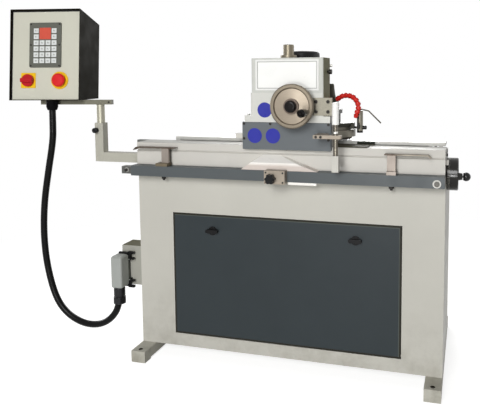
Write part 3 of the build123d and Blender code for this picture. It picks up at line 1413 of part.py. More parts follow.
def lever_parts():
    bar_y0 = LEVER_Y - BAR_D / 2
    bar_y1 = LEVER_Y + BAR_D / 2
    bar_z0 = LEVER_Z - BAR_T / 2
    bar_z1 = LEVER_Z + BAR_T / 2
    bar_x0 = LEVER_X - BAR_LEFT
    bracket = block(bar_x0, LEVER_X + BAR_RIGHT, bar_y0, bar_y1, bar_z0, bar_z1)
    bracket += block(bar_x0, bar_x0 + BAR_FOOT_W, bar_y1, APRON_FRONT, bar_z0, bar_z1)
    bracket -= block(
        LEVER_X - LEVER_SLOT_W / 2, LEVER_X + LEVER_SLOT_W / 2,
        LEVER_Y - LEVER_SLOT_D / 2, LEVER_Y + LEVER_SLOT_D / 2,
        bar_z0 - OVER, bar_z1 + OVER,
    )
    bracket += rod_y(LEVER_X, LEVER_Z, LEVER_PIN_R, bar_y0, bar_y1)
    bolts = []
    for x in BAR_BOLTS_IN:
        bolts.append(rod_y(bar_x0 + x, LEVER_Z, BAR_BOLT_R, bar_y0 - BAR_BOLT_H, bar_y0))
    save("lever_bracket", bracket, *bolts)

    neck_z = LEVER_Z + LEVER_NECK_UP
    collar_z = neck_z + LEVER_BALL_H
    grip_z = collar_z + LEVER_COLLAR_H
    core_top = grip_z + GRIP_H - GRIP_SKIN
    foot_top = LEVER_Z - LEVER_LOW + OVER
    half = LEVER_FOOT_W / 2
    lever = rod_z(LEVER_X, LEVER_Y, LEVER_R, LEVER_Z - LEVER_LOW, neck_z)
    lever += rod_z(LEVER_X, LEVER_Y, LEVER_NECK_R, neck_z, collar_z)
    lever += rod_z(LEVER_X, LEVER_Y, LEVER_COLLAR_R, collar_z, grip_z)
    lever += rod_z(LEVER_X, LEVER_Y, GRIP_CORE_R, grip_z, core_top)
    foot = block(LEVER_X - half, LEVER_X + half, bar_y0, bar_y1, foot_top - LEVER_FOOT_H, foot_top)
    lever += fillet(foot.edges().filter_by(Axis.Z), LEVER_FOOT_FILLET)
    lever -= rod_y(LEVER_X, LEVER_Z, LEVER_PIN_R + BORE_GAP, bar_y0, bar_y1)
    save("lever_rod", lever)

    grip = rod_z(LEVER_X, LEVER_Y, GRIP_R, grip_z, grip_z + GRIP_H)
    grip = fillet(grip.edges().group_by(Axis.Z)[-1], GRIP_FILLET)
    grip -= rod_z(LEVER_X, LEVER_Y, GRIP_CORE_R + BORE_GAP, grip_z - OVER, core_top)
    ball = Pos(LEVER_X, LEVER_Y, neck_z + LEVER_BALL_H / 2) * Sphere(LEVER_BALL_R)
    ball &= rod_z(LEVER_X, LEVER_Y, LEVER_BALL_R, neck_z, collar_z)
    ball -= rod_z(LEVER_X, LEVER_Y, LEVER_NECK_R + BORE_GAP, neck_z - OVER, collar_z + OVER)
    save("lever_grip", grip, ball)


def feed_parts():
    back = FEED_WHEEL_BACK
    rim_in = FEED_WHEEL_R - RIM_W
    rim_soft = FEED_WHEEL_R - RIM_CHAMFER
    web_out = rim_in - RIM_CHAMFER
    profile = [
        (0, back), (0, back - HUB_T),
        (HUB_R, back - HUB_T),
        (HUB_R, back - WEB_HUB_BACK - WEB_HUB_T),
        (web_out, back - WEB_RIM_BACK - WEB_RIM_T),
        (rim_in, back - RIM_T),
        (rim_soft, back - RIM_T),
        (FEED_WHEEL_R, back - RIM_T + RIM_CHAMFER),
        (FEED_WHEEL_R, back - RIM_CHAMFER),
        (rim_soft, back),
        (rim_in, back),
        (web_out, back - WEB_RIM_BACK),
        (HUB_R, back - WEB_HUB_BACK),
        (HUB_R, back),
    ]
    wheel = turned_y(profile, FEED_X, FEED_Z)
    dome = rod_y(FEED_X, FEED_Z, HUB_FACE_R, back - HUB_T - HUB_FACE_T, back - HUB_T)
    wheel += fillet(dome.edges().group_by(Axis.Y)[0], HUB_FACE_FILLET)
    wheel += rod_y(FEED_X, FEED_Z, FEED_SHAFT_R, back, HEAD_BACK - FEED_SHAFT_SHORT)
    wheel += rod_y(FEED_X, FEED_Z, GEAR_R, SCREW_Y - GEAR_T / 2, SCREW_Y + GEAR_T / 2)
    x = FEED_X + HANDLE_OUT
    z = FEED_Z - HANDLE_DOWN
    web_y = back - WEB_RIM_BACK - WEB_RIM_T / 2
    boss_y = web_y - HANDLE_BOSS_T
    root_y = boss_y - RUN_GAP
    end_y = root_y - HANDLE_L
    wheel += rod_y(x, z, HANDLE_BOSS_R, boss_y, web_y)
    wheel += rod_y(x, z, HANDLE_PIN_R, end_y + SEAT_GAP, boss_y)
    save("feed_handwheel", wheel)

    bore = HANDLE_PIN_R + BORE_GAP
    handle = turned_y(
        [
            (bore, root_y),
            (HANDLE_ROOT_R, root_y),
            (HANDLE_MID_R, root_y - HANDLE_SHARES[0] * HANDLE_L),
            (HANDLE_R, root_y - HANDLE_SHARES[1] * HANDLE_L),
            (HANDLE_R, root_y - HANDLE_SHARES[2] * HANDLE_L),
            (HANDLE_END_R, end_y),
            (bore, end_y),
        ],
        x, z,
    )
    save("feed_handle", handle)

    screw_top = COVER_Z1 + BEARING_CAP_H - BEARING_SKIN - OVER
    screw = rod_z(SCREW_X, SCREW_Y, SCREW_R, HEAD_Z0 - SCREW_SEAT, screw_top)
    screw += rod_z(SCREW_X, SCREW_Y, GEAR_R, FEED_Z - GEAR_T / 2, FEED_Z + GEAR_T / 2)
    save("feed_screw", screw)


def slide_parts():
    half = SLIDE_W / 2
    slide = block(SLIDE_X - half, SLIDE_X + half, SLIDE_FRONT, SLIDE_BACK, HEAD_Z0, HEAD_Z0 + SLIDE_H)
    shelf_front = SPINDLE_Y - SHELF_FRONT
    shelf_right = SPINDLE_X + SHELF_RIGHT
    shelf_left = MOTOR_X - SHELF_MOTOR
    shelf_back = MOTOR_Y + SHELF_MOTOR
    neck_half = NECK_W / 2
    slide += block(SLIDE_X - neck_half, SLIDE_X + neck_half, SLIDE_BACK, shelf_front, HEAD_Z0, SHELF_TOP)
    shelf = [
        (shelf_left, shelf_front),
        (shelf_right, shelf_front),
        (shelf_right, SPINDLE_Y + SHELF_RIGHT),
        (MOTOR_X + SHELF_MOTOR, shelf_back),
        (shelf_left, shelf_back),
    ]
    slide += prism_z(shelf, HEAD_Z0, SHELF_TOP)
    arm_half = ARM_W / 2
    arm_top = ARM_Z0 + ARM_T
    arm = block(SCREW_X - arm_half, SCREW_X + arm_half, SCREW_Y - ARM_REACH, SLIDE_FRONT, ARM_Z0, arm_top)
    slide += arm - rod_z(SCREW_X, SCREW_Y, SCREW_R + RUN_GAP, ARM_Z0 - OVER, arm_top + OVER)
    for x, y in ((SPINDLE_X, SPINDLE_Y), (MOTOR_X, MOTOR_Y)):
        slide -= rod_z(x, y, SHELF_HOLE_R, HEAD_Z0 - OVER, SHELF_TOP + OVER)
    save("head_slide", slide)


def spindle_parts():
    bell = turned_z(
        [
            (0, SHELF_TOP),
            (BELL_R, SHELF_TOP),
            (BELL_R, SHELF_TOP + BELL_FOOT),
            (BELL_WAIST_R, SHELF_TOP + BELL_WAIST_UP),
            (BELL_TOP_R, SHELF_TOP + BELL_H - BELL_CHAMFER),
            (BELL_TOP_R - BELL_CHAMFER, SHELF_TOP + BELL_H),
            (0, SHELF_TOP + BELL_H),
        ],
        SPINDLE_X, SPINDLE_Y,
    )
    first, second = hose_joints()[:2]
    root = Plane(first, z_dir=second - first)
    bell += root * Pos(0, 0, HOSE_RIM - HOSE_BOSS_L / 2) * Cylinder(HOSE_CUP_R, HOSE_BOSS_L)
    bell -= root * Sphere(HOSE_BALL_R + SEAT_GAP)
    bell -= rod_z(SPINDLE_X, SPINDLE_Y, SPINDLE_R + BORE_GAP, SHELF_TOP - OVER, SHELF_TOP + BELL_H + OVER)
    save("spindle_housing", bell)

    spindle = rod_z(SPINDLE_X, SPINDLE_Y, SPINDLE_R, CHUCK_Z1, HEAD_Z0 + SPINDLE_TOP)
    spindle += rod_z(SPINDLE_X, SPINDLE_Y, SPINDLE_PULLEY_R, PULLEY_Z0, PULLEY_Z1)
    spindle += rod_z(SPINDLE_X, SPINDLE_Y, SPINDLE_FLANGE_R, CHUCK_Z1, FLANGE_Z1)
    save("spindle", spindle)
    chuck = rod_z(SPINDLE_X, SPINDLE_Y, CHUCK_R, CHUCK_Z0, CHUCK_Z1)
    chuck -= rod_z(SPINDLE_X, SPINDLE_Y, CHUCK_BORE_R, CHUCK_Z0 - OVER, CHUCK_Z1 - CHUCK_WEB)
    chuck = chamfer(chuck.edges().group_by(Axis.Z)[-1], CHUCK_CHAMFER)
    save("wheel_chuck", chuck)
    ring = rod_z(SPINDLE_X, SPINDLE_Y, RING_R, RING_Z0, CHUCK_Z0)
    ring -= rod_z(SPINDLE_X, SPINDLE_Y, RING_BORE_R, RING_Z0 - OVER, CHUCK_Z0 + OVER)
    for k in range(RING_SLOTS):
        turn = Rot(0, 0, 180 * (k + 0.5) / RING_SLOTS)
        ring -= Pos(SPINDLE_X, SPINDLE_Y, RING_Z0) * turn * Box(3 * RING_R, RING_SLOT_W, 3 * RING_H)
    save("grinding_segments", ring)


def belt_parts():
    a = (SPINDLE_X, SPINDLE_Y)
    b = (MOTOR_X, MOTOR_Y)
    in_a = SPINDLE_PULLEY_R + RUN_GAP
    in_b = MOTOR_PULLEY_R + RUN_GAP
    belt_z0 = PULLEY_Z0 + BELT_EDGE
    belt_z1 = PULLEY_Z1 - BELT_EDGE
    belt = loop_z(a, in_a + BELT_T, b, in_b + BELT_T, belt_z0, belt_z1)
    belt -= loop_z(a, in_a, b, in_b, belt_z0 - OVER, belt_z1 + OVER)
    save("drive_belt", belt)

    case_a = SPINDLE_PULLEY_R + CASE_ROOM
    case_b = MOTOR_PULLEY_R + CASE_ROOM
    guard = loop_z(a, case_a, b, case_b, GUARD_Z1, HEAD_Z0)
    guard -= loop_z(a, case_a - CASE_WALL, b, case_b - CASE_WALL, GUARD_Z1 + CASE_WALL, HEAD_Z0 + OVER)
    guard += rod_z(*a, GUARD_R, GUARD_Z0, GUARD_Z1)
    guard -= rod_z(*a, GUARD_HOLE_R, GUARD_Z0 - OVER, GUARD_Z1 + CASE_WALL + OVER)
    lug_x0 = SPINDLE_X + GUARD_R - NOZZLE_LUG_IN
    lug_x1 = lug_x0 + NOZZLE_LUG_W
    lug_half = NOZZLE_LUG_D / 2
    lug = block(lug_x0, lug_x1, NOZZLE_Y - lug_half, NOZZLE_Y + lug_half, GUARD_Z0 - NOZZLE_LUG_H, GUARD_Z1)
    seat_x = lug_x0 + NOZZLE_LUG_SKIN
    guard += lug - rod_x(NOZZLE_Y, NOZZLE_ROD_Z, NOZZLE_ROD_R + BORE_GAP, seat_x, lug_x1 + OVER)
    save("wheel_guard", guard)

    pulley = rod_z(*b, MOTOR_PULLEY_R, PULLEY_Z0, PULLEY_Z1)
    pulley += rod_z(*b, MOTOR_SHAFT_R, PULLEY_Z0, SHELF_TOP + MOTOR_SHAFT_IN)
    save("motor_pulley", pulley)

    body_z1 = SHELF_TOP + MOTOR_H
    motor = rod_z(*b, MOTOR_FLANGE_R, SHELF_TOP, SHELF_TOP + MOTOR_FLANGE_T)
    motor += rod_z(*b, MOTOR_R, SHELF_TOP, body_z1)
    for k in range(MOTOR_FINS):
        fin = block(MOTOR_R - FIN_T, MOTOR_R + FIN_OUT, -FIN_T / 2, FIN_T / 2, SHELF_TOP, body_z1)
        motor += Pos(MOTOR_X, MOTOR_Y, 0) * Rot(0, 0, 360 * k / MOTOR_FINS) * fin
    cowl = rod_z(*b, COWL_R, body_z1, body_z1 + COWL_H)
    motor += fillet(cowl.edges().group_by(Axis.Z)[-1], COWL_FILLET)
    motor -= rod_z(*b, MOTOR_SHAFT_R + BORE_GAP, SHELF_TOP - OVER, SHELF_TOP + MOTOR_SHAFT_IN + OVER)
    save("drive_motor", motor)

    tube = rod_z(NOZZLE_X, NOZZLE_Y, NOZZLE_R, NOZZLE_Z0, NOZZLE_Z1)
    rod_x1 = NOZZLE_X + NOZZLE_ROD_OUT
    tube += rod_x(NOZZLE_Y, NOZZLE_ROD_Z, NOZZLE_ROD_R, seat_x, rod_x1)
    knob = rod_x(NOZZLE_Y, NOZZLE_ROD_Z, ROD_KNOB_R, rod_x1 - ROD_KNOB_L, rod_x1)
    tube += chamfer(knob.edges().group_by(Axis.X)[-1], ROD_KNOB_CHAMFER)
    tap_y = NOZZLE_Y - TAP_STEM_L
    tap_z = NOZZLE_Z0 + TAP_UP
    tube += rod_y(NOZZLE_X, tap_z, TAP_STEM_R, tap_y, NOZZLE_Y)
    tube += block(
        NOZZLE_X - TAP_T / 2, NOZZLE_X + TAP_T / 2,
        tap_y - TAP_D, tap_y,
        tap_z - TAP_H / 2, tap_z + TAP_H / 2,
    )
    tube -= rod_z(NOZZLE_X, NOZZLE_Y, NOZZLE_BORE_R, NOZZLE_Z0 - OVER, NOZZLE_Z0 + NOZZLE_BORE)
    tube -= rod_z(NOZZLE_X, NOZZLE_Y, WIRE_R + BORE_GAP, NOZZLE_Z1 - WIRE_SEAT, NOZZLE_Z1 + OVER)
    save("nozzle_tube", tube)

    level = NOZZLE_Z1 + WIRE_RISE
    corners = [
        (NOZZLE_X, NOZZLE_Y, NOZZLE_Z1 - WIRE_SEAT),
        (NOZZLE_X, NOZZLE_Y, level),
        (NOZZLE_X + WIRE_LEVEL, NOZZLE_Y, level - WIRE_SLOPE),
        (NOZZLE_X + WIRE_OUT, NOZZLE_Y, NOZZLE_Z1 - WIRE_FALL),
    ]
    path = FilletPolyline(*corners, radius=WIRE_BEND_R)
    wire = sweep(Plane(path @ 0, z_dir=path % 0) * Circle(WIRE_R), path=path)
    save("feeler_wire", wire)


def hose_joints():
    """Ball centres of the jointed hose, on a spiral that tightens towards the nozzle."""
    points = []
    angle = math.radians(HOSE_START_DEG)
    for k in range(HOSE_LINKS + 1):
        share = k / HOSE_LINKS
        radius = HOSE_R0 + (HOSE_R1 - HOSE_R0) * share
        y = HOSE_Y0 + (HOSE_Y1 - HOSE_Y0) * share
        points.append(Vector(HOSE_X + radius * math.cos(angle), y, HOSE_Z + radius * math.sin(angle)))
        angle -= HOSE_PITCH / radius
    return points


def hose_neck():
    """Ball and neck that every link has at its root, with the bore still to cut."""
    neck = Pos(0, 0, (HOSE_CUP_START + OVER) / 2) * Cylinder(HOSE_NECK_R, HOSE_CUP_START + OVER)
    return Sphere(HOSE_BALL_R) + neck


def hose_parts():
    points = hose_joints()
    bore = Cylinder(HOSE_BORE_R, 6 * HOSE_PITCH)
    links = []
    for k in range(HOSE_LINKS):
        step = points[k + 1] - points[k]
        length = step.length + HOSE_RIM - HOSE_CUP_START
        cup = Pos(0, 0, HOSE_CUP_START + length / 2) * Cylinder(HOSE_CUP_R, length)
        cup = chamfer(cup.edges().filter_by(GeomType.CIRCLE), HOSE_CUP_CHAMFER)
        link = hose_neck() + cup
        link -= Pos(0, 0, step.length) * Sphere(HOSE_BALL_R + SEAT_GAP)
        links.append(Plane(points[k], z_dir=step) * (link - bore))
    tip_z = HOSE_CUP_START + HOSE_NOZZLE_L / 2
    nozzle = hose_neck() + Pos(0, 0, tip_z) * Cone(HOSE_CUP_R, HOSE_NOZZLE_R, HOSE_NOZZLE_L)
    last = points[-1] - points[-2]
    links.append(Plane(points[-1], z_dir=last) * (nozzle - bore))
    save("coolant_hose", *links)


def mast_parts():
    half = MAST_W / 2
    bore = half - MAST_WALL
    top = MAST_Z0 + MAST_W
    x0 = POST_X + half
    arm = block(x0, -BED_X, POST_Y - half, POST_Y + half, MAST_Z0, top)
    arm -= block(
        x0 + MAST_WALL, -BED_X + OVER,
        POST_Y - bore, POST_Y + bore,
        MAST_Z0 + MAST_WALL, top - MAST_WALL,
    )
    plate_z0 = CABINET_TOP + ARM_PLATE_UP
    plate_half = ARM_PLATE_D / 2
    arm += block(
        -BED_X - ARM_PLATE_T, -BED_X,
        POST_Y - plate_half, POST_Y + plate_half,
        plate_z0, plate_z0 + ARM_PLATE_H,
    )
    mast = block(POST_X - half, POST_X + half, POST_Y - half, POST_Y + half, MAST_Z0, MAST_Z1)
    mast = fillet(mast.edges().filter_by(Axis.Z), MAST_FILLET)
    arm += mast
    arm -= block(
        POST_X - bore, POST_X + bore,
        POST_Y - bore, POST_Y + bore,
        MAST_Z0 + MAST_FLOOR, MAST_Z1 + OVER,
    )
    clamp_x = POST_X - CLAMP_SIDE
    clamp_z = MAST_Z1 - CLAMP_DOWN
    face = POST_Y - half
    arm -= rod_y(clamp_x, clamp_z, CLAMP_PIN_R + BORE_GAP, face - OVER, face + MAST_WALL + OVER)
    save("pendant_arm", arm)
    clamp_back = face - CLAMP_STANDOFF
    clamp = rod_y(clamp_x, clamp_z, CLAMP_R, clamp_back - CLAMP_L, clamp_back)
    clamp += rod_y(clamp_x, clamp_z, CLAMP_PIN_R, clamp_back, face + MAST_WALL + SEAT_GAP)
    save("mast_clamp", clamp)

    cross_z0 = BOX_Z - CROSS_H
    t = CROSS_WALL
    side = CROSS_W / 2
    post = rod_z(0, 0, POST_R, MAST_Z0 + MAST_FLOOR + POST_FOOT, cross_z0)
    post -= rod_z(0, 0, POST_R - POST_WALL, MAST_Z0, cross_z0 - t)
    cross = block(-CROSS_LEFT, CROSS_RIGHT, -side, side, cross_z0, BOX_Z)
    cross -= block(-CROSS_LEFT - OVER, CROSS_RIGHT - t, -side + t, side - t, cross_z0 + t, BOX_Z - t)
    screw_x = CROSS_RIGHT - CROSS_SCREW_IN
    screw = rod_y(screw_x, BOX_Z - CROSS_H / 2, CROSS_SCREW_R, -side - CROSS_SCREW_H, -side)
    save("pendant_post", swivelled(post + cross + screw))


def box_parts():
    t = BOX_WALL
    x0 = BOX_X - BOX_W / 2
    x1 = BOX_X + BOX_W / 2
    lean = math.tan(math.radians(PANEL_TILT_DEG))
    front_top = BOX_Y0 + lean * BOX_FRONT_H
    back_top = BOX_Y1 + lean * BOX_BACK_H
    roof = (BOX_FRONT_H - BOX_BACK_H) / (back_top - front_top)
    drop = t * math.hypot(1, roof)
    mouth = 2 * PANEL_INSET
    front_z = BOX_FRONT_H - drop

    def at(y, height):
        return (y, BOX_Z + height)

    outline = [at(BOX_Y0, 0), at(front_top, BOX_FRONT_H), at(back_top, BOX_BACK_H), at(BOX_Y1, 0)]
    hollow = [
        at(BOX_Y0 - mouth, t),
        at(front_top - mouth, front_z + mouth * roof),
        at(front_top, front_z),
        at(back_top - t, BOX_BACK_H - drop + t * roof),
        at(BOX_Y1 - t, t),
    ]
    box = prism_x(outline, x0, x1)
    box -= prism_x(hollow, x0 + t, x1 - t)

    x = -GLAND_LEFT
    y = -GLAND_FRONT
    end_z = BOX_Z - GLAND_H
    nut_z = BOX_Z - GLAND_NUT_H
    gland = hexagon_z(x, y, GLAND_FLATS, nut_z, BOX_Z)
    taper_z = end_z + GLAND_TAPER
    sleeve = [(0, end_z), (GLAND_END_R, end_z), (GLAND_R, taper_z), (GLAND_R, nut_z), (0, nut_z)]
    gland += turned_z(sleeve, x, y)
    gland -= rod_z(x, y, CONDUIT_D / 2 + RUN_GAP, end_z - OVER, BOX_Z - GLAND_SEAT)
    save("pendant_box", swivelled(box), swivelled(gland))
    return (front_z - PANEL_INSET * roof) / math.cos(math.radians(PANEL_TILT_DEG)) - PANEL_TOP_GAP


def on_panel(shape):
    """Places a shape drawn on the panel's face: X along it, Y up it, Z out of it."""
    tilt = math.radians(PANEL_TILT_DEG)
    origin = (BOX_X, BOX_Y0 + PANEL_INSET, BOX_Z)
    plane = Plane(origin=origin, x_dir=(1, 0, 0), z_dir=(0, -math.cos(tilt), math.sin(tilt)))
    return swivelled(plane * shape)


def panel_parts(panel_top):
    half = BOX_W / 2 - BOX_WALL - PANEL_GAP
    switch_u = -SWITCH_LEFT
    switch_bore = SWITCH_SHAFT_R + BORE_GAP
    stop_bore = STOP_SHAFT_R + BORE_GAP
    panel = block(-half, half, BOX_WALL + PANEL_GAP, panel_top, -PANEL_T, 0)
    panel -= rod_z(switch_u, SWITCH_UP, switch_bore, -PANEL_T - OVER, OVER)
    panel -= rod_z(STOP_RIGHT, SWITCH_UP, stop_bore, -PANEL_T - OVER, OVER)
    side = SWITCH_PLATE_W / 2
    yellow = block(switch_u - side, switch_u + side, SWITCH_UP - side, SWITCH_UP + side, 0, SWITCH_PLATE_T)
    yellow -= rod_z(switch_u, SWITCH_UP, switch_bore, -OVER, SWITCH_PLATE_T + OVER)
    ring = rod_z(STOP_RIGHT, SWITCH_UP, STOP_RING_R, 0, STOP_RING_T)
    ring -= rod_z(STOP_RIGHT, SWITCH_UP, stop_bore, -OVER, STOP_RING_T + OVER)
    save("pendant_panel", on_panel(panel), on_panel(yellow), on_panel(ring))

    bezel_top = BEZEL_UP + BEZEL_H
    bezel = block(-BEZEL_W / 2, BEZEL_W / 2, BEZEL_UP, bezel_top, 0, BEZEL_T)
    bezel = fillet(bezel.edges().filter_by(Axis.Z), BEZEL_FILLET)
    screw_u = BEZEL_W / 2 - BEZEL_SCREW_IN
    screw_v = BEZEL_H / 2 - BEZEL_SCREW_IN
    screws = []
    for u in (-screw_u, screw_u):
        for v in (-screw_v, 0, screw_v):
            screw = rod_z(u, BEZEL_UP + BEZEL_H / 2 + v, BEZEL_SCREW_R, BEZEL_T, BEZEL_T + BEZEL_SCREW_H)
            screws.append(on_panel(screw))
    save("keypad_bezel", on_panel(bezel), *screws)

    keys = []
    for row in range(KEY_ROWS):
        for column in range(KEY_COLUMNS):
            if row < DISPLAY_ROWS and 0 < column < KEY_COLUMNS - 1:
                continue
            u = KEY_PITCH_U * (column - (KEY_COLUMNS - 1) / 2)
            v = bezel_top - KEY_TOP - KEY_PITCH_V * row
            key = block(u - KEY_W / 2, u + KEY_W / 2, v - KEY_H / 2, v + KEY_H / 2, BEZEL_T, BEZEL_T + KEY_T)
            keys.append(on_panel(key))
    display_top = bezel_top - DISPLAY_TOP
    display = block(
        -DISPLAY_W / 2, DISPLAY_W / 2,
        display_top - DISPLAY_H, display_top,
        BEZEL_T, BEZEL_T + DISPLAY_T,
    )
    save("keypad_keys", *keys, on_panel(display))

    knob_z0 = SWITCH_PLATE_T + RUN_GAP
    knob_z1 = knob_z0 + SWITCH_KNOB_T
    grip_z1 = knob_z1 + SWITCH_GRIP_H
    knob = rod_z(switch_u, SWITCH_UP, SWITCH_KNOB_R, knob_z0, knob_z1)
    grip_half = SWITCH_GRIP_W / 2
    grip = block(
        switch_u - SWITCH_KNOB_R, switch_u + SWITCH_KNOB_R,
        SWITCH_UP - grip_half, SWITCH_UP + grip_half,
        knob_z1, grip_z1,
    )
    knob += grip & rod_z(switch_u, SWITCH_UP, SWITCH_KNOB_R, knob_z1, grip_z1)
    knob += rod_z(switch_u, SWITCH_UP, SWITCH_SHAFT_R, -SWITCH_SHAFT_L, knob_z0)
    save("switch_knob", on_panel(knob))

    foot_z = STOP_RING_T + STOP_TRAVEL_ROOM
    edge_z = foot_z + STOP_EDGE_UP
    button = turned_z(
        [
            (0, foot_z),
            (STOP_FOOT_R, foot_z),
            (STOP_R, edge_z),
            (STOP_R, edge_z + STOP_EDGE_H),
            (STOP_FOOT_R, foot_z + STOP_TOP_H - OVER),
            (0, foot_z + STOP_TOP_H),
        ],
        STOP_RIGHT, SWITCH_UP,
    )
    button += rod_z(STOP_RIGHT, SWITCH_UP, STOP_SHAFT_R, -STOP_SHAFT_L, foot_z)
    save("stop_button", on_panel(button))


def connector_parts():
    t = JUNCTION_WALL
    y1 = JUNCTION_Y0 + JUNCTION_D
    z1 = JUNCTION_Z0 + JUNCTION_H
    box = block(JUNCTION_X0, -HALF_W, JUNCTION_Y0, y1, JUNCTION_Z0, z1)
    box = fillet(box.edges().filter_by(Axis.X), JUNCTION_FILLET)
    box -= block(JUNCTION_X0 + t, -HALF_W + OVER, JUNCTION_Y0 + t, y1 - t, JUNCTION_Z0 + t, z1 - t)
    socket = block(SOCKET_X0, SOCKET_X1, SOCKET_Y0, JUNCTION_Y0, SOCKET_Z0, SOCKET_Z1)

    half = HOOD_W / 2
    hood = block(HOOD_X - half, HOOD_X + half, HOOD_Y0, HOOD_Y1, HOOD_Z0, HOOD_Z0 + HOOD_H)
    hood = fillet(hood.edges().filter_by(Axis.Z).group_by(Axis.Y)[0], HOOD_FILLET)
    hood = chamfer(hood.edges().group_by(Axis.Z)[0], HOOD_CHAMFER)
    hood = chamfer(hood.edges().group_by(Axis.Z)[-1], HOOD_TOP_CHAMFER)
    nut_z0 = HOOD_Z0 - PLUG_NUT_H
    groove_z0 = nut_z0 - PLUG_GROOVE_H
    end_z0 = groove_z0 - PLUG_END_H
    hood += rod_z(PLUG_X, PLUG_Y, PLUG_GROOVE_R, groove_z0, HOOD_Z0 + HOOD_CHAMFER)
    nut = rod_z(PLUG_X, PLUG_Y, PLUG_NUT_R, nut_z0, HOOD_Z0 - PLUG_GROOVE_H)
    hood += fillet(nut.edges().filter_by(GeomType.CIRCLE), PLUG_ROUND)
    rounding = rod_z(PLUG_X, PLUG_Y, PLUG_END_FLATS / 2 + PLUG_ROUND / 2, end_z0, groove_z0)
    rounding = fillet(rounding.edges().filter_by(GeomType.CIRCLE), PLUG_ROUND)
    hood += hexagon_z(PLUG_X, PLUG_Y, PLUG_END_FLATS, end_z0, groove_z0) & rounding
    bore = CONDUIT_D / 2 + RUN_GAP
    flare_z1 = groove_z0 - SEAT_GAP
    hood -= rod_z(PLUG_X, PLUG_Y, bore, flare_z1 - OVER, nut_z0 + PLUG_BORE)
    hood -= rod_z(PLUG_X, PLUG_Y, bore + PLUG_FLARE, end_z0 - OVER, flare_z1)
    save("connector_hood", hood)

    plate_y1 = JUNCTION_Y0 - LEVER_BACK
    plate_y0 = plate_y1 - LEVER_PLATE_T
    plate_x0 = LEVER_EYE_X - LEVER_EYE_R
    window_x0 = plate_x0 + LEVER_WINDOW_IN
    pins = []
    for name, side, socket_end in (("upper_lever", 1, SOCKET_Z1), ("lower_lever", -1, SOCKET_Z0)):
        z = socket_end - side * LEVER_EYE_IN
        tip = z + side * LEVER_PLATE_H
        lever = rod_y(LEVER_EYE_X, z, LEVER_EYE_R, plate_y0, plate_y1)
        lever += block(plate_x0, plate_x0 + LEVER_PLATE_W, plate_y0, plate_y1, z, tip)
        window_z = z + side * LEVER_WINDOW_Z
        window_end = window_z + side * LEVER_WINDOW_H
        window_x1 = plate_x0 + LEVER_PLATE_W + OVER
        lever -= block(window_x0, window_x1, plate_y0 - OVER, plate_y1 + OVER, window_z, window_end)
        bow_z = socket_end + side * LEVER_BOW_GAP
        lever += block(SOCKET_X0, plate_x0 + LEVER_EYE_R, plate_y0, plate_y1, bow_z, bow_z + side * LEVER_BOW_H)
        lever -= rod_y(LEVER_EYE_X, z, LEVER_EYE_PIN_R + BORE_GAP, plate_y0 - OVER, plate_y1 + OVER)
        save(name, lever)
        pins.append(rod_y(LEVER_EYE_X, z, LEVER_EYE_PIN_R, plate_y0, JUNCTION_Y0))
    save("junction_box", box, socket, *pins)


def conduit_points():
    """Corner points of the conduit's run, from the box's gland to the plug."""
    angle = math.radians(SWIVEL_DEG)
    start_x = POST_X - GLAND_LEFT * math.cos(angle) + GLAND_FRONT * math.sin(angle)
    start_y = POST_Y - GLAND_LEFT * math.sin(angle) - GLAND_FRONT * math.cos(angle)
    runs = [
        (start_x, BOX_Z - GLAND_SEAT - CONDUIT_SEAT),
        (start_x, 930),
        (-1035.5, 860),
        (-1065, 730),
        (-1093.5, 590),
        (-1104, 450),
        (-1094.5, 310),
        (-1057.6, 168.5),
        (-1003.6, 100.7),
        (-925.4, 63),
        (-844.5, 63),
        (-779.5, 100.5),
        (PLUG_X, 165.5),
        (PLUG_X, HOOD_Z0 - CONDUIT_SEAT),
    ]
    points = []
    for k, (x, z) in enumerate(runs):
        y = start_y + (PLUG_Y - start_y) * k / (len(runs) - 1)
        if k < 2:
            y = start_y
        if k > len(runs) - 3:
            y = PLUG_Y
        points.append((x, y, z))
    return points


def conduit_parts():
    points = [Vector(*p) for p in conduit_points()]
    radii = []
    for k in range(1, len(points) - 1):
        before = points[k] - points[k - 1]
        after = points[k + 1] - points[k]
        turn = math.radians(before.get_angle(after))
        radii.append(BEND_SHARE * min(before.length, after.length) / math.tan(turn / 2))
    path = FilletPolyline(*points, radius=radii)
    section = Plane(path @ 0, z_dir=path % 0) * Circle(CONDUIT_D / 2)
    save("control_conduit", sweep(section, path=path))
    print("conduit length", round(path.length, 1), "smallest bend", round(min(radii), 1))


foot_parts()
cabinet_parts()
door_parts()
bed_parts()
table_parts()
table_wheel_parts()
rail_parts()
chute_parts()
bracket_parts()
trip_dog("dog_left", -HALF_W + LEFT_DOG_IN, -1, LEFT_FOOT_OUT, LEFT_STRIP_IN, LEFT_BOLT_IN)
trip_dog("dog_right", HALF_W - RIGHT_DOG_IN, 1, RIGHT_FOOT_OUT, RIGHT_STRIP_IN, RIGHT_BOLT_IN_BAR)
coolant_parts()
carriage_parts()
head_parts()
cover_parts()
lever_parts()
feed_parts()
slide_parts()
spindle_parts()
belt_parts()
hose_parts()
mast_parts()
panel_parts(box_parts())
connector_parts()
conduit_parts()
print("nodes", len(os.listdir("parts")))
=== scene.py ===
"""Looks of a knife grinding machine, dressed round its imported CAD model. Metres, +Z up."""
import math

import bmesh
import bpy
from mathutils import Matrix, Vector

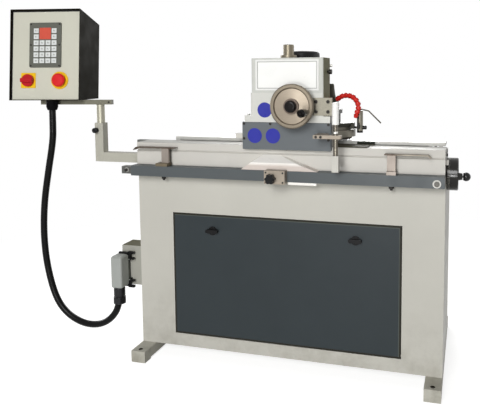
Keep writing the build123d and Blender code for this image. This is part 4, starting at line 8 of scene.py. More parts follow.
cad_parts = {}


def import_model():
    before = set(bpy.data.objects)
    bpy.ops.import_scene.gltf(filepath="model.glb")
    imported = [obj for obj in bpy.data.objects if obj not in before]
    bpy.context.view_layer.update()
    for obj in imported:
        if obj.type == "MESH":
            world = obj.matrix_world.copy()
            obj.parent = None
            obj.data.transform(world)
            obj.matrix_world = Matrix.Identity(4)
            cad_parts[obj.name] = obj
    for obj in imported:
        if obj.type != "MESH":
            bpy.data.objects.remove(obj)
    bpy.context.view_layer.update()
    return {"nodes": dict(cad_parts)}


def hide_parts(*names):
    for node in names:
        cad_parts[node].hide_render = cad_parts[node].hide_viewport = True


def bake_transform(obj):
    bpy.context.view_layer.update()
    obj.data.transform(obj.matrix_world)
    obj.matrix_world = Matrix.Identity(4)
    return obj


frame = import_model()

nodes = frame["nodes"]
scene = bpy.context.scene

# The photograph's camera, fitted to the edges of the cabinet
PHOTO_WIDTH = 480
PHOTO_HEIGHT = 414
FOCAL_PIXELS = 613.0
PRINCIPAL_PIXEL = (294.1, 129.7)
CAMERA_AT = (0.6709, -2.4295, 1.1291)
CAMERA_YAW = 15.88
CAMERA_PITCH = 4.98
CAMERA_ROLL = -0.29
CAMERA_REACH = 50
SENSOR_MM = 36.0

# Lamps: name, place, what it aims at, diameter and watts
LAMPS = (
    ("key", (0.0, -4.9, 2.6), (0, 0, 0.75), 2.2, 160),
    ("low_fill", (0.3, -4.9, 0.4), (0, 0, 0.7), 0.8, 52),
    ("back_fill", (-0.9, 4.6, 2.2), (0, 0, 0.8), 2.4, 130),
    ("left_fill", (-4.9, 1.4, 1.6), (-0.4, 0, 0.7), 2.0, 60),
    ("right_fill", (4.9, 1.6, 1.6), (0.2, 0, 0.7), 2.0, 18),
)

# Floor and surroundings
FLOOR_RADIUS = 9.0
FLOOR_SEGMENTS = 96
FLOOR_COLOUR = (0.52, 0.52, 0.51, 1)
FLOOR_ROUGHNESS = 0.9
FLOOR_GLOW = 0.78
SHADOW_FADES_FROM = 1.3
SHADOW_FADES_TO = 2.6
WHITE = (1, 1, 1, 1)
SKY_STRENGTH = 0.08

# Conduit from the pendant to the plug; its first and last points keep the depth of the ends
CONDUIT_DIAMETER = 0.028
CONDUIT_START_Y = -0.2043
CONDUIT_END_Y = -0.190
CONDUIT_END_POINTS = 2
CONDUIT_STEPS_ALONG = 16
CONDUIT_STEPS_ROUND = 8
CONDUIT_ROUTE = (
    (-1.0307, 1.0213),
    (-1.0307, 0.930),
    (-1.0355, 0.860),
    (-1.065, 0.730),
    (-1.0935, 0.590),
    (-1.104, 0.450),
    (-1.0945, 0.310),
    (-1.0576, 0.1685),
    (-1.0036, 0.1007),
    (-0.9254, 0.063),
    (-0.8445, 0.063),
    (-0.7795, 0.1005),
    (-0.742, 0.1655),
    (-0.742, 0.242),
)

# Directions, and the frame of the pendant's panel: along it, up it and out of it
RIGHT = (1, 0, 0)
LEFT = (-1, 0, 0)
BACK = (0, 1, 0)
FRONT = (0, -1, 0)
UP = (0, 0, 1)
DOWN = (0, 0, -1)
PENDANT_AXIS = (-0.845, -0.130)
PENDANT_TURN = Matrix.Rotation(math.radians(11.0), 3, "Z")
PANEL_TILT = math.radians(6.3)
PENDANT_FRONT = PENDANT_TURN @ Vector((0, -1, 0))
PANEL_ALONG = PENDANT_TURN @ Vector((1, 0, 0))
PANEL_UP = PENDANT_TURN @ Vector((0, math.sin(PANEL_TILT), math.cos(PANEL_TILT)))
PANEL_OUT = PENDANT_TURN @ Vector((0, -math.cos(PANEL_TILT), math.sin(PANEL_TILT)))
PANEL_AT = Vector((*PENDANT_AXIS, 1.0333)) + PENDANT_TURN @ Vector((-0.2212, -0.0491, 0))

# Axes of round places, and what lies across an axis along Y or Z
FEED_AXIS = (0.067, 0, 1.0226)
DRUM_AXIS = (0, -0.125, 0.7685)
ALONG_Y = (1, 0, 1)
ALONG_Z = (1, 1, 0)

# How far a mask fades on each side of its edge
MASK_SOFT = 0.0002

# What the finishes are mixed from: noise scales, spans in which noise fades in, factors on a colour
NOISE_SPAN = (0.3, 0.7)
BLOTCH_SCALE = 2.6
SPECK_SCALE = 140.0
SPECK_SPAN = (0.62, 0.80)
SPECK_SHARE = 0.3
SPECK_SHADE = 0.86
PAINT_SHEEN_SCALE = 18.0
PAINT_SHEEN_RANGE = (0.06, 0.08)
PEEL_SCALE = 620.0
GRIME_TOP_Z = 0.34
GRIME_SCALE = 9.0
GRIME_SPAN = (0.42, 0.72)
GRIME_COLOUR = (122, 116, 100)
TOOL_LINE_SHADES = (0.90, 1.08)
STAIN_SCALE = 7.0
STAIN_SPAN = (0.45, 0.75)
STAIN_FACTOR = 3
STAIN_SHADE = 0.62
METAL_SHEEN_RANGE = (0.09, 0.12)
DUST_SCALE = 24.0
DUST_SPAN = (0.45, 0.8)
DUST_SHADE = 1.6
PLASTIC_SHEEN_SCALE = 40.0
PLASTIC_SHEEN_RANGE = (0.07, 0.09)
GRAIN_SCALE = 900.0
GRIT_SCALE = 650.0
GRIT_SHADES = (0.55, 1.35)
GRIT_ROUGHNESS = 0.92
GRIT_HEIGHT = 0.0004

# Where one finish gives way to another on the cabinet and the floor beams
ANCHOR_X = 0.570
ANCHOR_Y = 0.323
# Dark round the anchor holes: dirt on their rims, and painted shade inside them
ANCHOR_RIM_R = 0.0088
ANCHOR_RIM_SOFT = 0.0012
DOOR_EDGES = {RIGHT: 0.448, LEFT: 0.448, UP: 0.589, DOWN: -0.1025}
DOOR_WORN_W = 0.0070
# Widths of the dark band on the door's edges: painted shadow of the gap round the door
DOOR_EDGE_SHADE_W = 0.0044
DOOR_THIN_EDGE_SHADE_W = 0.0022

# The same on the bed: chute, way, table, rear beam, rail, bracket, trip dogs and end handwheel
# The chute's lower facet between these heights is given darker paint: painted shade
CHUTE_FACET_FOOT_Z = 0.75
CHUTE_FACET_TOP_Z = 0.805
CHUTE_FACET_SOFT = 0.005
WAY_FRONT_Y = -0.2558
WAY_END_X = 0.5978
WAY_STOP_X = -0.5985
TABLE_TOP_Z = 0.8846
REAR_BOLT_X = 0.5985
RAIL_END_X = -0.6004
RAIL_WASHER_Y = -0.3106
RAIL_BOLT_Y = -0.3131
RAIL_END_WASHER_Y = -0.3064
RAIL_END_BOLT_Y = -0.3084
BRACKET_BOLT_Y = -0.3422
STRIP_FOOT_Z = 0.8524
STRIP_BEND_FOOT_Z = 0.835
LEFT_STRIP_BEND_X = -0.476
RIGHT_STRIP_BEND_X = 0.434
PALE_STRIP_X = 0.440
PALE_STRIP_SOFT = 0.02
DOG_FOOT_TOP_Z = 0.7965
DOG_BOLT_TOP_Z = 0.7838
DRUM_SHAFT_X = 0.5999
DRUM_MARKS = 72
DRUM_MARK_SPAN = (0.10, 0.14)
DRUM_BAND_SPAN = (0.6115, 0.6125)

# The same on the carriage: saddle, apron, head, front handwheel and lever
# The saddle's shoe from here rightwards is coloured dark, its lip darkest: painted shade cast by the
# carriage on the way
SHOE_X = 0.1974
SHOE_LIP_FOOT_Z = 0.8751
APRON_SCREW_Y = -0.2842
# From here rightwards the head's side is given darker olive paint: painted shade
HEAD_SIDE_X = 0.1712
FLANGE_TOP_Z = 0.9853
FLANGE_BOLT_TOP_Z = 0.9915
FLANGE_BOLT_FRONT_Y = -0.2815
FLANGE_BOLT_BACK_Y = -0.272
FLANGE_BOLT_LEFT_X = -0.1056
FLANGE_BOLT_RIGHT_X = 0.1726
PAD_BACK_Y = -0.2815
PAD_FRONT_Y = -0.2903
PAD_LEFT_X = 0.1315
PAD_RIGHT_X = 0.1723
PAD_FOOT_Z = 0.9879
PAD_BOLT_Y = -0.2943
PLATE_EDGES = {RIGHT: -0.0775, LEFT: -0.1485, UP: 1.0845, DOWN: -1.1835}
PLATE_LINE_W = 0.003
DISC_TOP_Z = 1.04
COVER_SCREW_TOP_Z = 1.158
BEARING_CAP_FOOT_Z = 1.1961
WHEEL_WEB_R = 0.064
WHEEL_HUB_R = 0.0284
WHEEL_DOME_Y = -0.3506
LEVER_BOLT_Y = -0.3622
LEVER_BLOCK_TOP_Z = 0.8522
GRIP_COLLAR_TOP_Z = 0.9609
GRIP_BALL_TOP_Z = 0.9385

# The same on the grinding head: the bare length of the nozzle tube, and the motor's cowl
NOZZLE_FRONT_Y = -0.134
NOZZLE_RIGHT_X = 0.2868
NOZZLE_LEFT_X = 0.2632
NOZZLE_FOOT_Z = 0.9215
COWL_FOOT_Z = 1.1722

# The same on the pendant and the plug; places on the panel are measured in the panel's own frame
CROSS_TUBE_FOOT_Z = 1.0128
CROSS_SCREW_OUT = 0.0124
# Under the box the post's cross tube is coloured black: painted shade under the box
UNDER_BOX_Z = 1.0329
UNDER_BOX_X = -0.885
GLAND_TOP_Z = 1.0330
# Black strips along the panel's left and top edges: painted shade of the box's rim
PANEL_LEFT_EDGE = 0.1450
PANEL_TOP_EDGE = 0.3755
PANEL_FACE_OUT = 0.0004
BEZEL_FACE_OUT = 0.0062
DISPLAY_HALF_W = 0.026
DISPLAY_FOOT = 0.2565
DISPLAY_TOP = 0.3085
PLUG_GLAND_TOP_Z = 0.2442
# The junction box's top above this height is painted dark olive: painted shade
JUNCTION_TOP_Z = 0.4085
SOCKET_Y = -0.1404
SOCKET_RIM_Y = -0.1480

# The grid of keys: direction, first edge, pitch, and half a key's patch as a share of the pitch
KEY_GRID = (
    (PANEL_ALONG, -0.0524, 0.0262, 0.20),
    (PANEL_UP, 0.15425, 0.0255, 0.15),
)
KEY_PATCH_SOFT = 0.03
KEY_PATCH_SCALE = 420.0
KEY_PATCH_SPAN = (0.40, 0.56)
KEY_PATCH_SHARES = (0.1, 0.9)

# Width of the rounding on the edges of thick pieces
ROUNDED = {
    0.0015: ("apron", "saddle", "head_housing", "head_cover", "pendant_box"),
    0.0010: (
        "floor_beams", "cabinet_door", "front_way", "knife_table", "dog_rail", "centre_bracket",
        "lever_bracket", "pendant_arm", "junction_box", "connector_hood", "upper_lever", "lower_lever",
        "feed_handwheel", "wheel_chuck", "wheel_guard", "cover_fittings", "latch_left", "latch_right",
        "bracket_knob", "mast_clamp",
    ),
    0.0006: (
        "dog_left", "dog_right", "keypad_bezel", "keypad_keys", "switch_knob", "plain_plates",
        "pendant_panel", "lever_rod", "pendant_post", "nozzle_tube", "drive_motor",
    ),
}
WELD_DISTANCE = 0.00002
FLAT_ANGLE = 0.5
SHARP_ANGLE = 38
ROUNDING_SEGMENTS = 2


def tone(red, green, blue):
    """Linear colour of an sRGB tone from 0 to 255."""
    linear = []
    for value in (red, green, blue):
        share = value / 255
        linear.append(share / 12.92 if share <= 0.04045 else ((share + 0.055) / 1.055) ** 2.4)
    return (*linear, 1.0)


def scaled(colour, factor):
    return (*(min(1.0, part * factor) for part in colour[:3]), 1.0)


class Coat:
    """What a recipe gives: a colour, a roughness and a metallic share, and relief in metres."""

    def __init__(self, colour, roughness, metal, relief):
        self.colour = colour
        self.roughness = roughness
        self.metal = metal
        self.relief = relief


class Surface:
    """A principled material whose inputs are built node by node."""

    def __init__(self, name):
        self.material = bpy.data.materials.new(name)
        self.material.use_nodes = True
        self.tree = self.material.node_tree
        self.shader = self.tree.nodes["Principled BSDF"]
        self.place = self.add("ShaderNodeTexCoord").outputs["Object"]

    def add(self, kind, **settings):
        made = self.tree.nodes.new(kind)
        for key, value in settings.items():
            setattr(made, key, value)
        return made

    def feed(self, socket, value):
        """Links a socket to a value that is a socket, and otherwise sets it."""
        if isinstance(value, bpy.types.NodeSocket):
            self.tree.links.new(value, socket)
        else:
            socket.default_value = value

    def sum_up(self, operation, first, second):
        made = self.add("ShaderNodeMath", operation=operation)
        self.feed(made.inputs[0], first)
        self.feed(made.inputs[1], second)
        return made.outputs[0]

    def vector(self, operation, first, second):
        made = self.add("ShaderNodeVectorMath", operation=operation)
        self.feed(made.inputs[0], first)
        self.feed(made.inputs[1], second)
        return made

    def noise(self, scale, detail=3.0, rough=0.5, stretch=None):
        made = self.add("ShaderNodeTexNoise")
        made.inputs["Scale"].default_value = scale
        made.inputs["Detail"].default_value = detail
        made.inputs["Roughness"].default_value = rough
        place = self.vector("MULTIPLY", self.place, stretch).outputs[0] if stretch else self.place
        self.feed(made.inputs["Vector"], place)
        return made.outputs["Fac"]

    def between(self, value, low, high, to_low, to_high):
        made = self.add("ShaderNodeMapRange")
        spans = {"From Min": low, "From Max": high, "To Min": to_low, "To Max": to_high}
        for key, number in spans.items():
            self.feed(made.inputs[key], number)
        self.feed(made.inputs["Value"], value)
        return made.outputs["Result"]

    def mix(self, factor, first, second):
        made = self.add("ShaderNodeMix", data_type="RGBA")
        self.feed(made.inputs[0], factor)
        self.feed(made.inputs[6], first)
        self.feed(made.inputs[7], second)
        return made.outputs[2]

    def mix_value(self, factor, first, second):
        if first == second:
            return first
        made = self.add("ShaderNodeMix", data_type="FLOAT")
        self.feed(made.inputs[0], factor)
        self.feed(made.inputs[2], first)
        self.feed(made.inputs[3], second)
        return made.outputs[0]

    def along(self, direction, start=(0, 0, 0)):
        """How far the shaded place lies from a start, along a direction."""
        moved = self.vector("SUBTRACT", self.place, tuple(start)).outputs[0]
        return self.vector("DOT_PRODUCT", moved, tuple(direction)).outputs["Value"]

    def off_axis(self, centre, across):
        """How far the shaded place lies from a line through a centre; across is 0 along the line."""
        moved = self.vector("SUBTRACT", self.place, tuple(centre)).outputs[0]
        flat = self.vector("MULTIPLY", moved, across).outputs[0]
        return self.vector("LENGTH", flat, (0, 0, 0)).outputs["Value"]

    def laid(self, under, over, mask):
        """One coat over another where the mask is 1."""
        return Coat(
            self.mix(mask, under.colour, over.colour),
            self.mix_value(mask, under.roughness, over.roughness),
            self.mix_value(mask, under.metal, over.metal),
            self.mix_value(mask, under.relief, over.relief),
        )

    def wear(self, coat, shine):
        """Makes a coat the material's surface."""
        self.feed(self.shader.inputs["Base Color"], coat.colour)
        self.feed(self.shader.inputs["Roughness"], coat.roughness)
        self.feed(self.shader.inputs["Metallic"], coat.metal)
        self.shader.inputs["Specular IOR Level"].default_value = shine
        bump = self.add("ShaderNodeBump")
        bump.inputs["Strength"].default_value = 1.0
        bump.inputs["Distance"].default_value = 1.0
        self.feed(bump.inputs["Height"], coat.relief)
        self.feed(self.shader.inputs["Normal"], bump.outputs["Normal"])


def around(roughness, limits):
    """Lowest and highest roughness, by how far each lies from the middle one."""
    return roughness - limits[0], roughness + limits[1]


def enamel(colour, roughness=0.42, blotch=0.04, peel=0.00002, grime=0.0):
    """Sprayed paint: orange peel, faint blotches, and grime near the floor where asked."""

    def lay(made):
        cloud = made.between(made.noise(BLOTCH_SCALE, detail=5.0, rough=0.6), *NOISE_SPAN, 0, 1)
        base = made.mix(cloud, scaled(colour, 1 - blotch), scaled(colour, 1 + blotch))
        speck = made.between(made.noise(SPECK_SCALE, detail=2.0), *SPECK_SPAN, 0, SPECK_SHARE)
        base = made.mix(speck, base, scaled(colour, SPECK_SHADE))
        if grime:
            low = made.between(made.along(UP), 0.0, GRIME_TOP_Z, 1.0, 0.0)
            patch = made.between(made.noise(GRIME_SCALE, detail=6.0, rough=0.7), *GRIME_SPAN, 0.0, grime)
            base = made.mix(made.sum_up("MULTIPLY", low, patch), base, tone(*GRIME_COLOUR))
        sheen = made.noise(PAINT_SHEEN_SCALE, detail=4.0)
        rough = made.between(sheen, *NOISE_SPAN, *around(roughness, PAINT_SHEEN_RANGE))
        return Coat(base, rough, 0.0, made.sum_up("MULTIPLY", made.noise(PEEL_SCALE, detail=2.0), peel))

    return lay


def metal(colour, roughness=0.36, lines=(30.0, 900.0, 900.0), stain=0.14, metallic=0.8, cut=0.00002):
    """Machined steel or iron with tool lines and oily staining."""

    def lay(made):
        marks = made.noise(1.0, detail=4.0, rough=0.6, stretch=lines)
        cloud = made.noise(STAIN_SCALE, detail=6.0, rough=0.65)
        dark, light = (scaled(colour, shade) for shade in TOOL_LINE_SHADES)
        base = made.mix(made.between(marks, *NOISE_SPAN, 0, 1), dark, light)
        stained = made.between(cloud, *STAIN_SPAN, 0, stain * STAIN_FACTOR)
        base = made.mix(stained, base, scaled(colour, STAIN_SHADE))
        rough = made.between(cloud, *NOISE_SPAN, *around(roughness, METAL_SHEEN_RANGE))
        return Coat(base, rough, metallic, made.sum_up("MULTIPLY", marks, cut))

    return lay


def plastic(colour, roughness=0.42, grain=0.00002, dust=0.08):
    """Moulded plastic with a fine grain and a little dust."""

    def lay(made):
        cloud = made.between(made.noise(DUST_SCALE, detail=5.0, rough=0.65), *DUST_SPAN, 0, dust)
        base = made.mix(cloud, colour, scaled(colour, DUST_SHADE))
        sheen = made.noise(PLASTIC_SHEEN_SCALE, detail=3.0)
        rough = made.between(sheen, *NOISE_SPAN, *around(roughness, PLASTIC_SHEEN_RANGE))
        return Coat(base, rough, 0.0, made.sum_up("MULTIPLY", made.noise(GRAIN_SCALE, detail=2.0), grain))

    return lay


def grit(colour):
    """Bonded abrasive."""

    def lay(made):
        grains = made.noise(GRIT_SCALE, detail=3.0, rough=0.8)
        dark, light = (scaled(colour, shade) for shade in GRIT_SHADES)
        base = made.mix(made.between(grains, *NOISE_SPAN, 0, 1), dark, light)
        return Coat(base, GRIT_ROUGHNESS, 0.0, made.sum_up("MULTIPLY", grains, GRIT_HEIGHT))

    return lay


def past(direction, edge, start=(0, 0, 0), soft=MASK_SOFT):
    """Mask of what lies further than an edge along a direction."""
    return lambda made: made.between(made.along(direction, start), edge - soft, edge + soft, 0, 1)


def right_of(x, soft=MASK_SOFT):
    return past(RIGHT, x, soft=soft)


def left_of(x):
    return past(LEFT, -x)


def behind(y):
    return past(BACK, y)


def before(y):
    return past(FRONT, -y)


def above(z):
    return past(UP, z)


def below(z, soft=MASK_SOFT):
    return past(DOWN, -z, soft=soft)


def inside(centre, across, radius, soft=MASK_SOFT):
    """Mask of what lies within a radius of a line."""
    return lambda made: made.between(made.off_axis(centre, across), radius - soft, radius + soft, 1, 0)


def joined(operation, masks):
    """Mask of several masks under one operation."""

    def build(made):
        result = masks[0](made)
        for mask in masks[1:]:
            result = made.sum_up(operation, result, mask(made))
        return result

    return build


def all_of(*masks):
    return joined("MULTIPLY", masks)


def any_of(*masks):
    return joined("MAXIMUM", masks)


def door_rim(width, *sides):
    """Mask of what lies within a width of some of the cabinet door's edges."""
    return any_of(*(past(side, DOOR_EDGES[side] - width) for side in sides))


def plate_face(inset):
    """Mask of the head cover's plate, less an inset all round."""
    return all_of(*(past(side, edge + inset) for side, edge in PLATE_EDGES.items()))


def ticks(made):
    """Graduation marks round the end handwheel's drum."""
    split = made.add("ShaderNodeSeparateXYZ")
    made.feed(split.inputs[0], made.vector("SUBTRACT", made.place, DRUM_AXIS).outputs[0])
    angle = made.sum_up("ARCTAN2", split.outputs["Y"], split.outputs["Z"])
    share = made.add("ShaderNodeMath", operation="FRACT")
    made.feed(share.inputs[0], made.sum_up("MULTIPLY", angle, DRUM_MARKS / (2 * math.pi)))
    line = made.between(share.outputs[0], *DRUM_MARK_SPAN, 1, 0)
    band = made.between(split.outputs["X"], *DRUM_BAND_SPAN, 1, 0)
    return made.sum_up("MULTIPLY", line, band)


def key_marks(made):
    """A plain grey patch on the middle of each key."""
    spot = 1.0
    for direction, start, pitch, half in KEY_GRID:
        place = made.sum_up("SUBTRACT", made.along(direction, PANEL_AT), start)
        count = made.sum_up("MULTIPLY", place, 1 / pitch)
        part = made.add("ShaderNodeMath", operation="FRACT")
        made.feed(part.inputs[0], count)
        off = made.add("ShaderNodeMath", operation="ABSOLUTE")
        made.feed(off.inputs[0], made.sum_up("SUBTRACT", part.outputs[0], 0.5))
        patch = made.between(off.outputs[0], half - KEY_PATCH_SOFT, half + KEY_PATCH_SOFT, 1, 0)
        spot = made.sum_up("MULTIPLY", spot, patch)
    uneven = made.noise(KEY_PATCH_SCALE, detail=2.0)
    return made.sum_up("MULTIPLY", spot, made.between(uneven, *KEY_PATCH_SPAN, *KEY_PATCH_SHARES))


def finish(name, base, *layers, shine=0.2):
    """Material of one coat, with others over it where their masks say."""
    made = Surface(name)
    coat = base(made)
    for mask, over in layers:
        coat = made.laid(coat, over(made), mask(made))
    made.wear(coat, shine)
    return made.material


# Coats that several pieces wear
CREAM = enamel(tone(206, 203, 196))
BLACK = plastic(tone(18, 18, 19), roughness=0.36)
SCREWS = metal(tone(48, 46, 44), roughness=0.42, metallic=0.6)
PLAIN_STEEL = metal(tone(152, 142, 129), roughness=0.46, metallic=0.4)
DARK_STEEL = metal(tone(92, 88, 78), roughness=0.44, stain=0.2, metallic=0.6)
BRIGHT = metal(tone(226, 224, 218), roughness=0.24, stain=0.04)


def cabinet_finishes():
    """Floor beams, cabinet and door, and what stands in the cabinet."""
    # Dark round the beams' anchor holes: dirt on the rims, and painted shade inside the holes and the
    # beams
    anchor_dirt_and_shade = [
        inside((x, y, 0), ALONG_Z, ANCHOR_RIM_R, soft=ANCHOR_RIM_SOFT)
        for x in (-ANCHOR_X, ANCHOR_X)
        for y in (-ANCHOR_Y, ANCHOR_Y)
    ]
    # A dark band along the door's edges, wider on the right and top: painted shadow of the gap round the
    # door
    edge_shade = any_of(door_rim(DOOR_EDGE_SHADE_W, RIGHT, UP), door_rim(DOOR_THIN_EDGE_SHADE_W, LEFT, DOWN))
    return {
        ("cabinet_shell", "cabinet_front"): finish(
            "cabinet_enamel", enamel(tone(196, 194, 185), grime=0.5),
        ),
        ("floor_beams",): finish(
            "beam_enamel", enamel(tone(190, 188, 177), grime=0.6),
            (any_of(*anchor_dirt_and_shade), plastic(tone(34, 31, 23), roughness=0.8)),
            shine=0.05,
        ),
        ("cabinet_door",): finish(
            "door_enamel", enamel(tone(48, 55, 58), roughness=0.40, blotch=0.06),
            (door_rim(DOOR_WORN_W, RIGHT, UP), enamel(tone(80, 86, 82), roughness=0.40, blotch=0.25)),
            (edge_shade, enamel(tone(36, 35, 27), roughness=0.55)),
        ),
        ("coolant_tank",): finish(
            "tank_sheet", metal(tone(176, 180, 182), roughness=0.45, lines=(60.0, 60.0, 60.0), stain=0.1),
        ),
        ("coolant_pump",): finish("pump_enamel", enamel(tone(62, 84, 112))),
    }


def bed_finishes():
    """Bed frame, front way, rear beam, knife table, coolant chute and end handwheel."""
    ground = metal(
        tone(200, 199, 194), roughness=0.52, lines=(14.0, 120.0, 120.0),
        stain=0.05, metallic=0.3, cut=0.0,
    )
    polished = metal(tone(246, 246, 243), roughness=0.28, stain=0.0, metallic=1.0, cut=0.0)
    # The chute's lower facet gets a darker pinkish copy of the chute's paint: painted shade
    shaded_chute_facet = all_of(above(CHUTE_FACET_FOOT_Z), below(CHUTE_FACET_TOP_Z, soft=CHUTE_FACET_SOFT))
    way_paint = any_of(before(WAY_FRONT_Y), right_of(WAY_END_X), left_of(-WAY_END_X))
    return {
        ("bed_frame",): finish("bed_enamel", CREAM),
        ("coolant_chute",): finish(
            "chute_sheet", enamel(tone(250, 247, 241), roughness=0.30, peel=0.00001),
            (shaded_chute_facet, enamel(tone(214, 203, 195), roughness=0.30)),
        ),
        ("front_way",): finish(
            "way", ground,
            (way_paint, CREAM),
            (left_of(WAY_STOP_X), enamel(tone(112, 113, 110))),
            shine=0.05,
        ),
        ("knife_table",): finish("ground_table", ground, (above(TABLE_TOP_Z), polished), shine=0.05),
        ("rear_beam",): finish("rear_beam", ground, (right_of(REAR_BOLT_X), SCREWS), shine=0.05),
        ("table_handwheel",): finish(
            "drum", plastic(tone(14, 12, 8), roughness=0.2, grain=0.0, dust=0.05),
            (ticks, plastic(tone(196, 192, 180))),
            (left_of(DRUM_SHAFT_X), DARK_STEEL),
            shine=0.34,
        ),
        ("table_handle",): finish(
            "black_ball", plastic(tone(12, 11, 11), roughness=0.16, grain=0.0, dust=0.02), shine=0.3,
        ),
    }


def rail_finishes():
    """Dog rail with its end fitting, the trip dogs on it and the centre bracket."""
    rail_end = left_of(RAIL_END_X)
    rail_washers = any_of(before(RAIL_WASHER_Y), all_of(rail_end, before(RAIL_END_WASHER_Y)))
    dog = metal(tone(146, 137, 129), roughness=0.44, lines=(900.0, 900.0, 30.0), metallic=0.5)
    strip = metal(tone(84, 70, 58), roughness=0.45, metallic=0.5)
    pale_strip = metal(tone(150, 142, 128), roughness=0.45, metallic=0.4)
    flat_strip = above(STRIP_FOOT_Z)
    left_strip = any_of(flat_strip, all_of(left_of(LEFT_STRIP_BEND_X), above(STRIP_BEND_FOOT_Z)))
    right_strip = any_of(flat_strip, all_of(right_of(RIGHT_STRIP_BEND_X), above(STRIP_BEND_FOOT_Z)))
    return {
        ("dog_rail",): finish(
            "rail", enamel(tone(86, 91, 93), roughness=0.36),
            (rail_end, metal(tone(96, 97, 94), roughness=0.40)),
            (rail_washers, metal(tone(178, 177, 172), roughness=0.42, metallic=0.4)),
            (before(RAIL_BOLT_Y), metal(tone(96, 94, 90), roughness=0.42, metallic=0.5)),
            (all_of(rail_end, before(RAIL_END_BOLT_Y)), SCREWS),
        ),
        ("centre_bracket",): finish("bracket_steel", PLAIN_STEEL, (before(BRACKET_BOLT_Y), SCREWS)),
        ("dog_left",): finish(
            "left_dog", dog,
            (left_strip, strip),
            (below(DOG_FOOT_TOP_Z), metal(tone(112, 102, 84), roughness=0.5, metallic=0.5)),
            (below(DOG_BOLT_TOP_Z), SCREWS),
        ),
        ("dog_right",): finish(
            "right_dog", dog,
            (right_strip, strip),
            (below(DOG_BOLT_TOP_Z), SCREWS),
            (all_of(right_strip, right_of(PALE_STRIP_X, soft=PALE_STRIP_SOFT)), pale_strip),
        ),
    }


def carriage_finishes():
    """Saddle and apron, and the head with its cover, plates and fittings."""
    # The shoe's dark colours are painted shade: a dark plate standing where the carriage shades the way
    shade_shoe = right_of(SHOE_X)
    # The right sides of the head and its cover get a darker olive copy of their paint: painted shade on
    # the side away from the lamps
    head_side = all_of(right_of(HEAD_SIDE_X), above(FLANGE_TOP_Z))
    side_shade_paint = enamel(tone(154, 152, 126), roughness=0.5, blotch=0.12)
    head_pad = all_of(
        before(PAD_BACK_Y),
        right_of(PAD_LEFT_X),
        any_of(before(PAD_FRONT_Y), right_of(PAD_RIGHT_X)),
        above(PAD_FOOT_Z),
    )
    pad_iron = metal(
        tone(148, 144, 131), roughness=0.46, lines=(160.0, 160.0, 160.0), stain=0.22, metallic=0.3,
    )
    flange_bolts = all_of(
        above(FLANGE_TOP_Z),
        below(FLANGE_BOLT_TOP_Z),
        behind(FLANGE_BOLT_FRONT_Y),
        before(FLANGE_BOLT_BACK_Y),
        any_of(left_of(FLANGE_BOLT_LEFT_X), right_of(FLANGE_BOLT_RIGHT_X)),
    )
    return {
        ("saddle",): finish(
            "saddle_enamel", CREAM,
            (shade_shoe, plastic(tone(84, 82, 70), roughness=0.6, dust=0.2)),
            (all_of(shade_shoe, above(SHOE_LIP_FOOT_Z)), plastic(tone(40, 42, 35), roughness=0.6, dust=0.2)),
            shine=0.05,
        ),
        ("apron",): finish(
            "apron_enamel", enamel(tone(102, 107, 110), roughness=0.40), (before(APRON_SCREW_Y), SCREWS),
        ),
        ("head_housing",): finish(
            "head_enamel", enamel(tone(214, 214, 208), roughness=0.38),
            (head_side, side_shade_paint),
            (head_pad, pad_iron),
            (any_of(before(PAD_BOLT_Y), flange_bolts), SCREWS),
            shine=0.02,
        ),
        ("head_cover",): finish(
            "cover_enamel", enamel(tone(204, 205, 199), roughness=0.38),
            (head_side, side_shade_paint),
            shine=0.02,
        ),
        ("plain_plates",): finish(
            "plain_plates", enamel(tone(234, 234, 231), roughness=0.34, blotch=0.01),
            (plate_face(0), enamel(tone(178, 178, 175), roughness=0.34)),
            (
                plate_face(PLATE_LINE_W),
                enamel(tone(247, 247, 244), roughness=0.30, blotch=0.01, peel=0.00001),
            ),
            (below(DISC_TOP_Z), plastic(tone(50, 54, 156), roughness=0.34)),
        ),
        ("cover_fittings",): finish(
            "cover_fittings", BRIGHT,
            (below(COVER_SCREW_TOP_Z), SCREWS),
            (
                above(BEARING_CAP_FOOT_Z),
                metal(tone(122, 115, 100), roughness=0.34, lines=(300.0, 300.0, 900.0)),
            ),
        ),
    }


def handle_finishes():
    """Front handwheel with its handle, and the reversing lever."""
    web = inside(FEED_AXIS, ALONG_Y, WHEEL_WEB_R)
    hub = inside(FEED_AXIS, ALONG_Y, WHEEL_HUB_R)
    return {
        ("feed_handwheel",): finish(
            "handwheel",
            metal(tone(122, 113, 99), roughness=0.36, lines=(260.0, 260.0, 260.0), metallic=0.6),
            (web, metal(tone(150, 139, 124), roughness=0.40, metallic=0.5)),
            (hub, metal(tone(104, 92, 83), roughness=0.40, metallic=0.4)),
            (before(WHEEL_DOME_Y), plastic(tone(18, 14, 13), roughness=0.17, grain=0.0)),
            shine=0.16,
        ),
        ("feed_handle",): finish(
            "black_grip", plastic(tone(12, 10, 10), roughness=0.20, grain=0.0, dust=0.02), shine=0.06,
        ),
        ("lever_bracket",): finish("lever_steel", PLAIN_STEEL, (before(LEVER_BOLT_Y), SCREWS)),
        ("lever_rod",): finish(
            "lever_chrome",
            metal(tone(104, 99, 90), roughness=0.20, lines=(900.0, 900.0, 20.0), stain=0.1),
            (below(LEVER_BLOCK_TOP_Z), enamel(tone(200, 198, 190))),
        ),
        ("lever_grip",): finish(
            "white_grip", plastic(tone(247, 246, 242), roughness=0.30, dust=0.02),
            (below(GRIP_COLLAR_TOP_Z), SCREWS),
            (below(GRIP_BALL_TOP_Z), BRIGHT),
        ),
    }


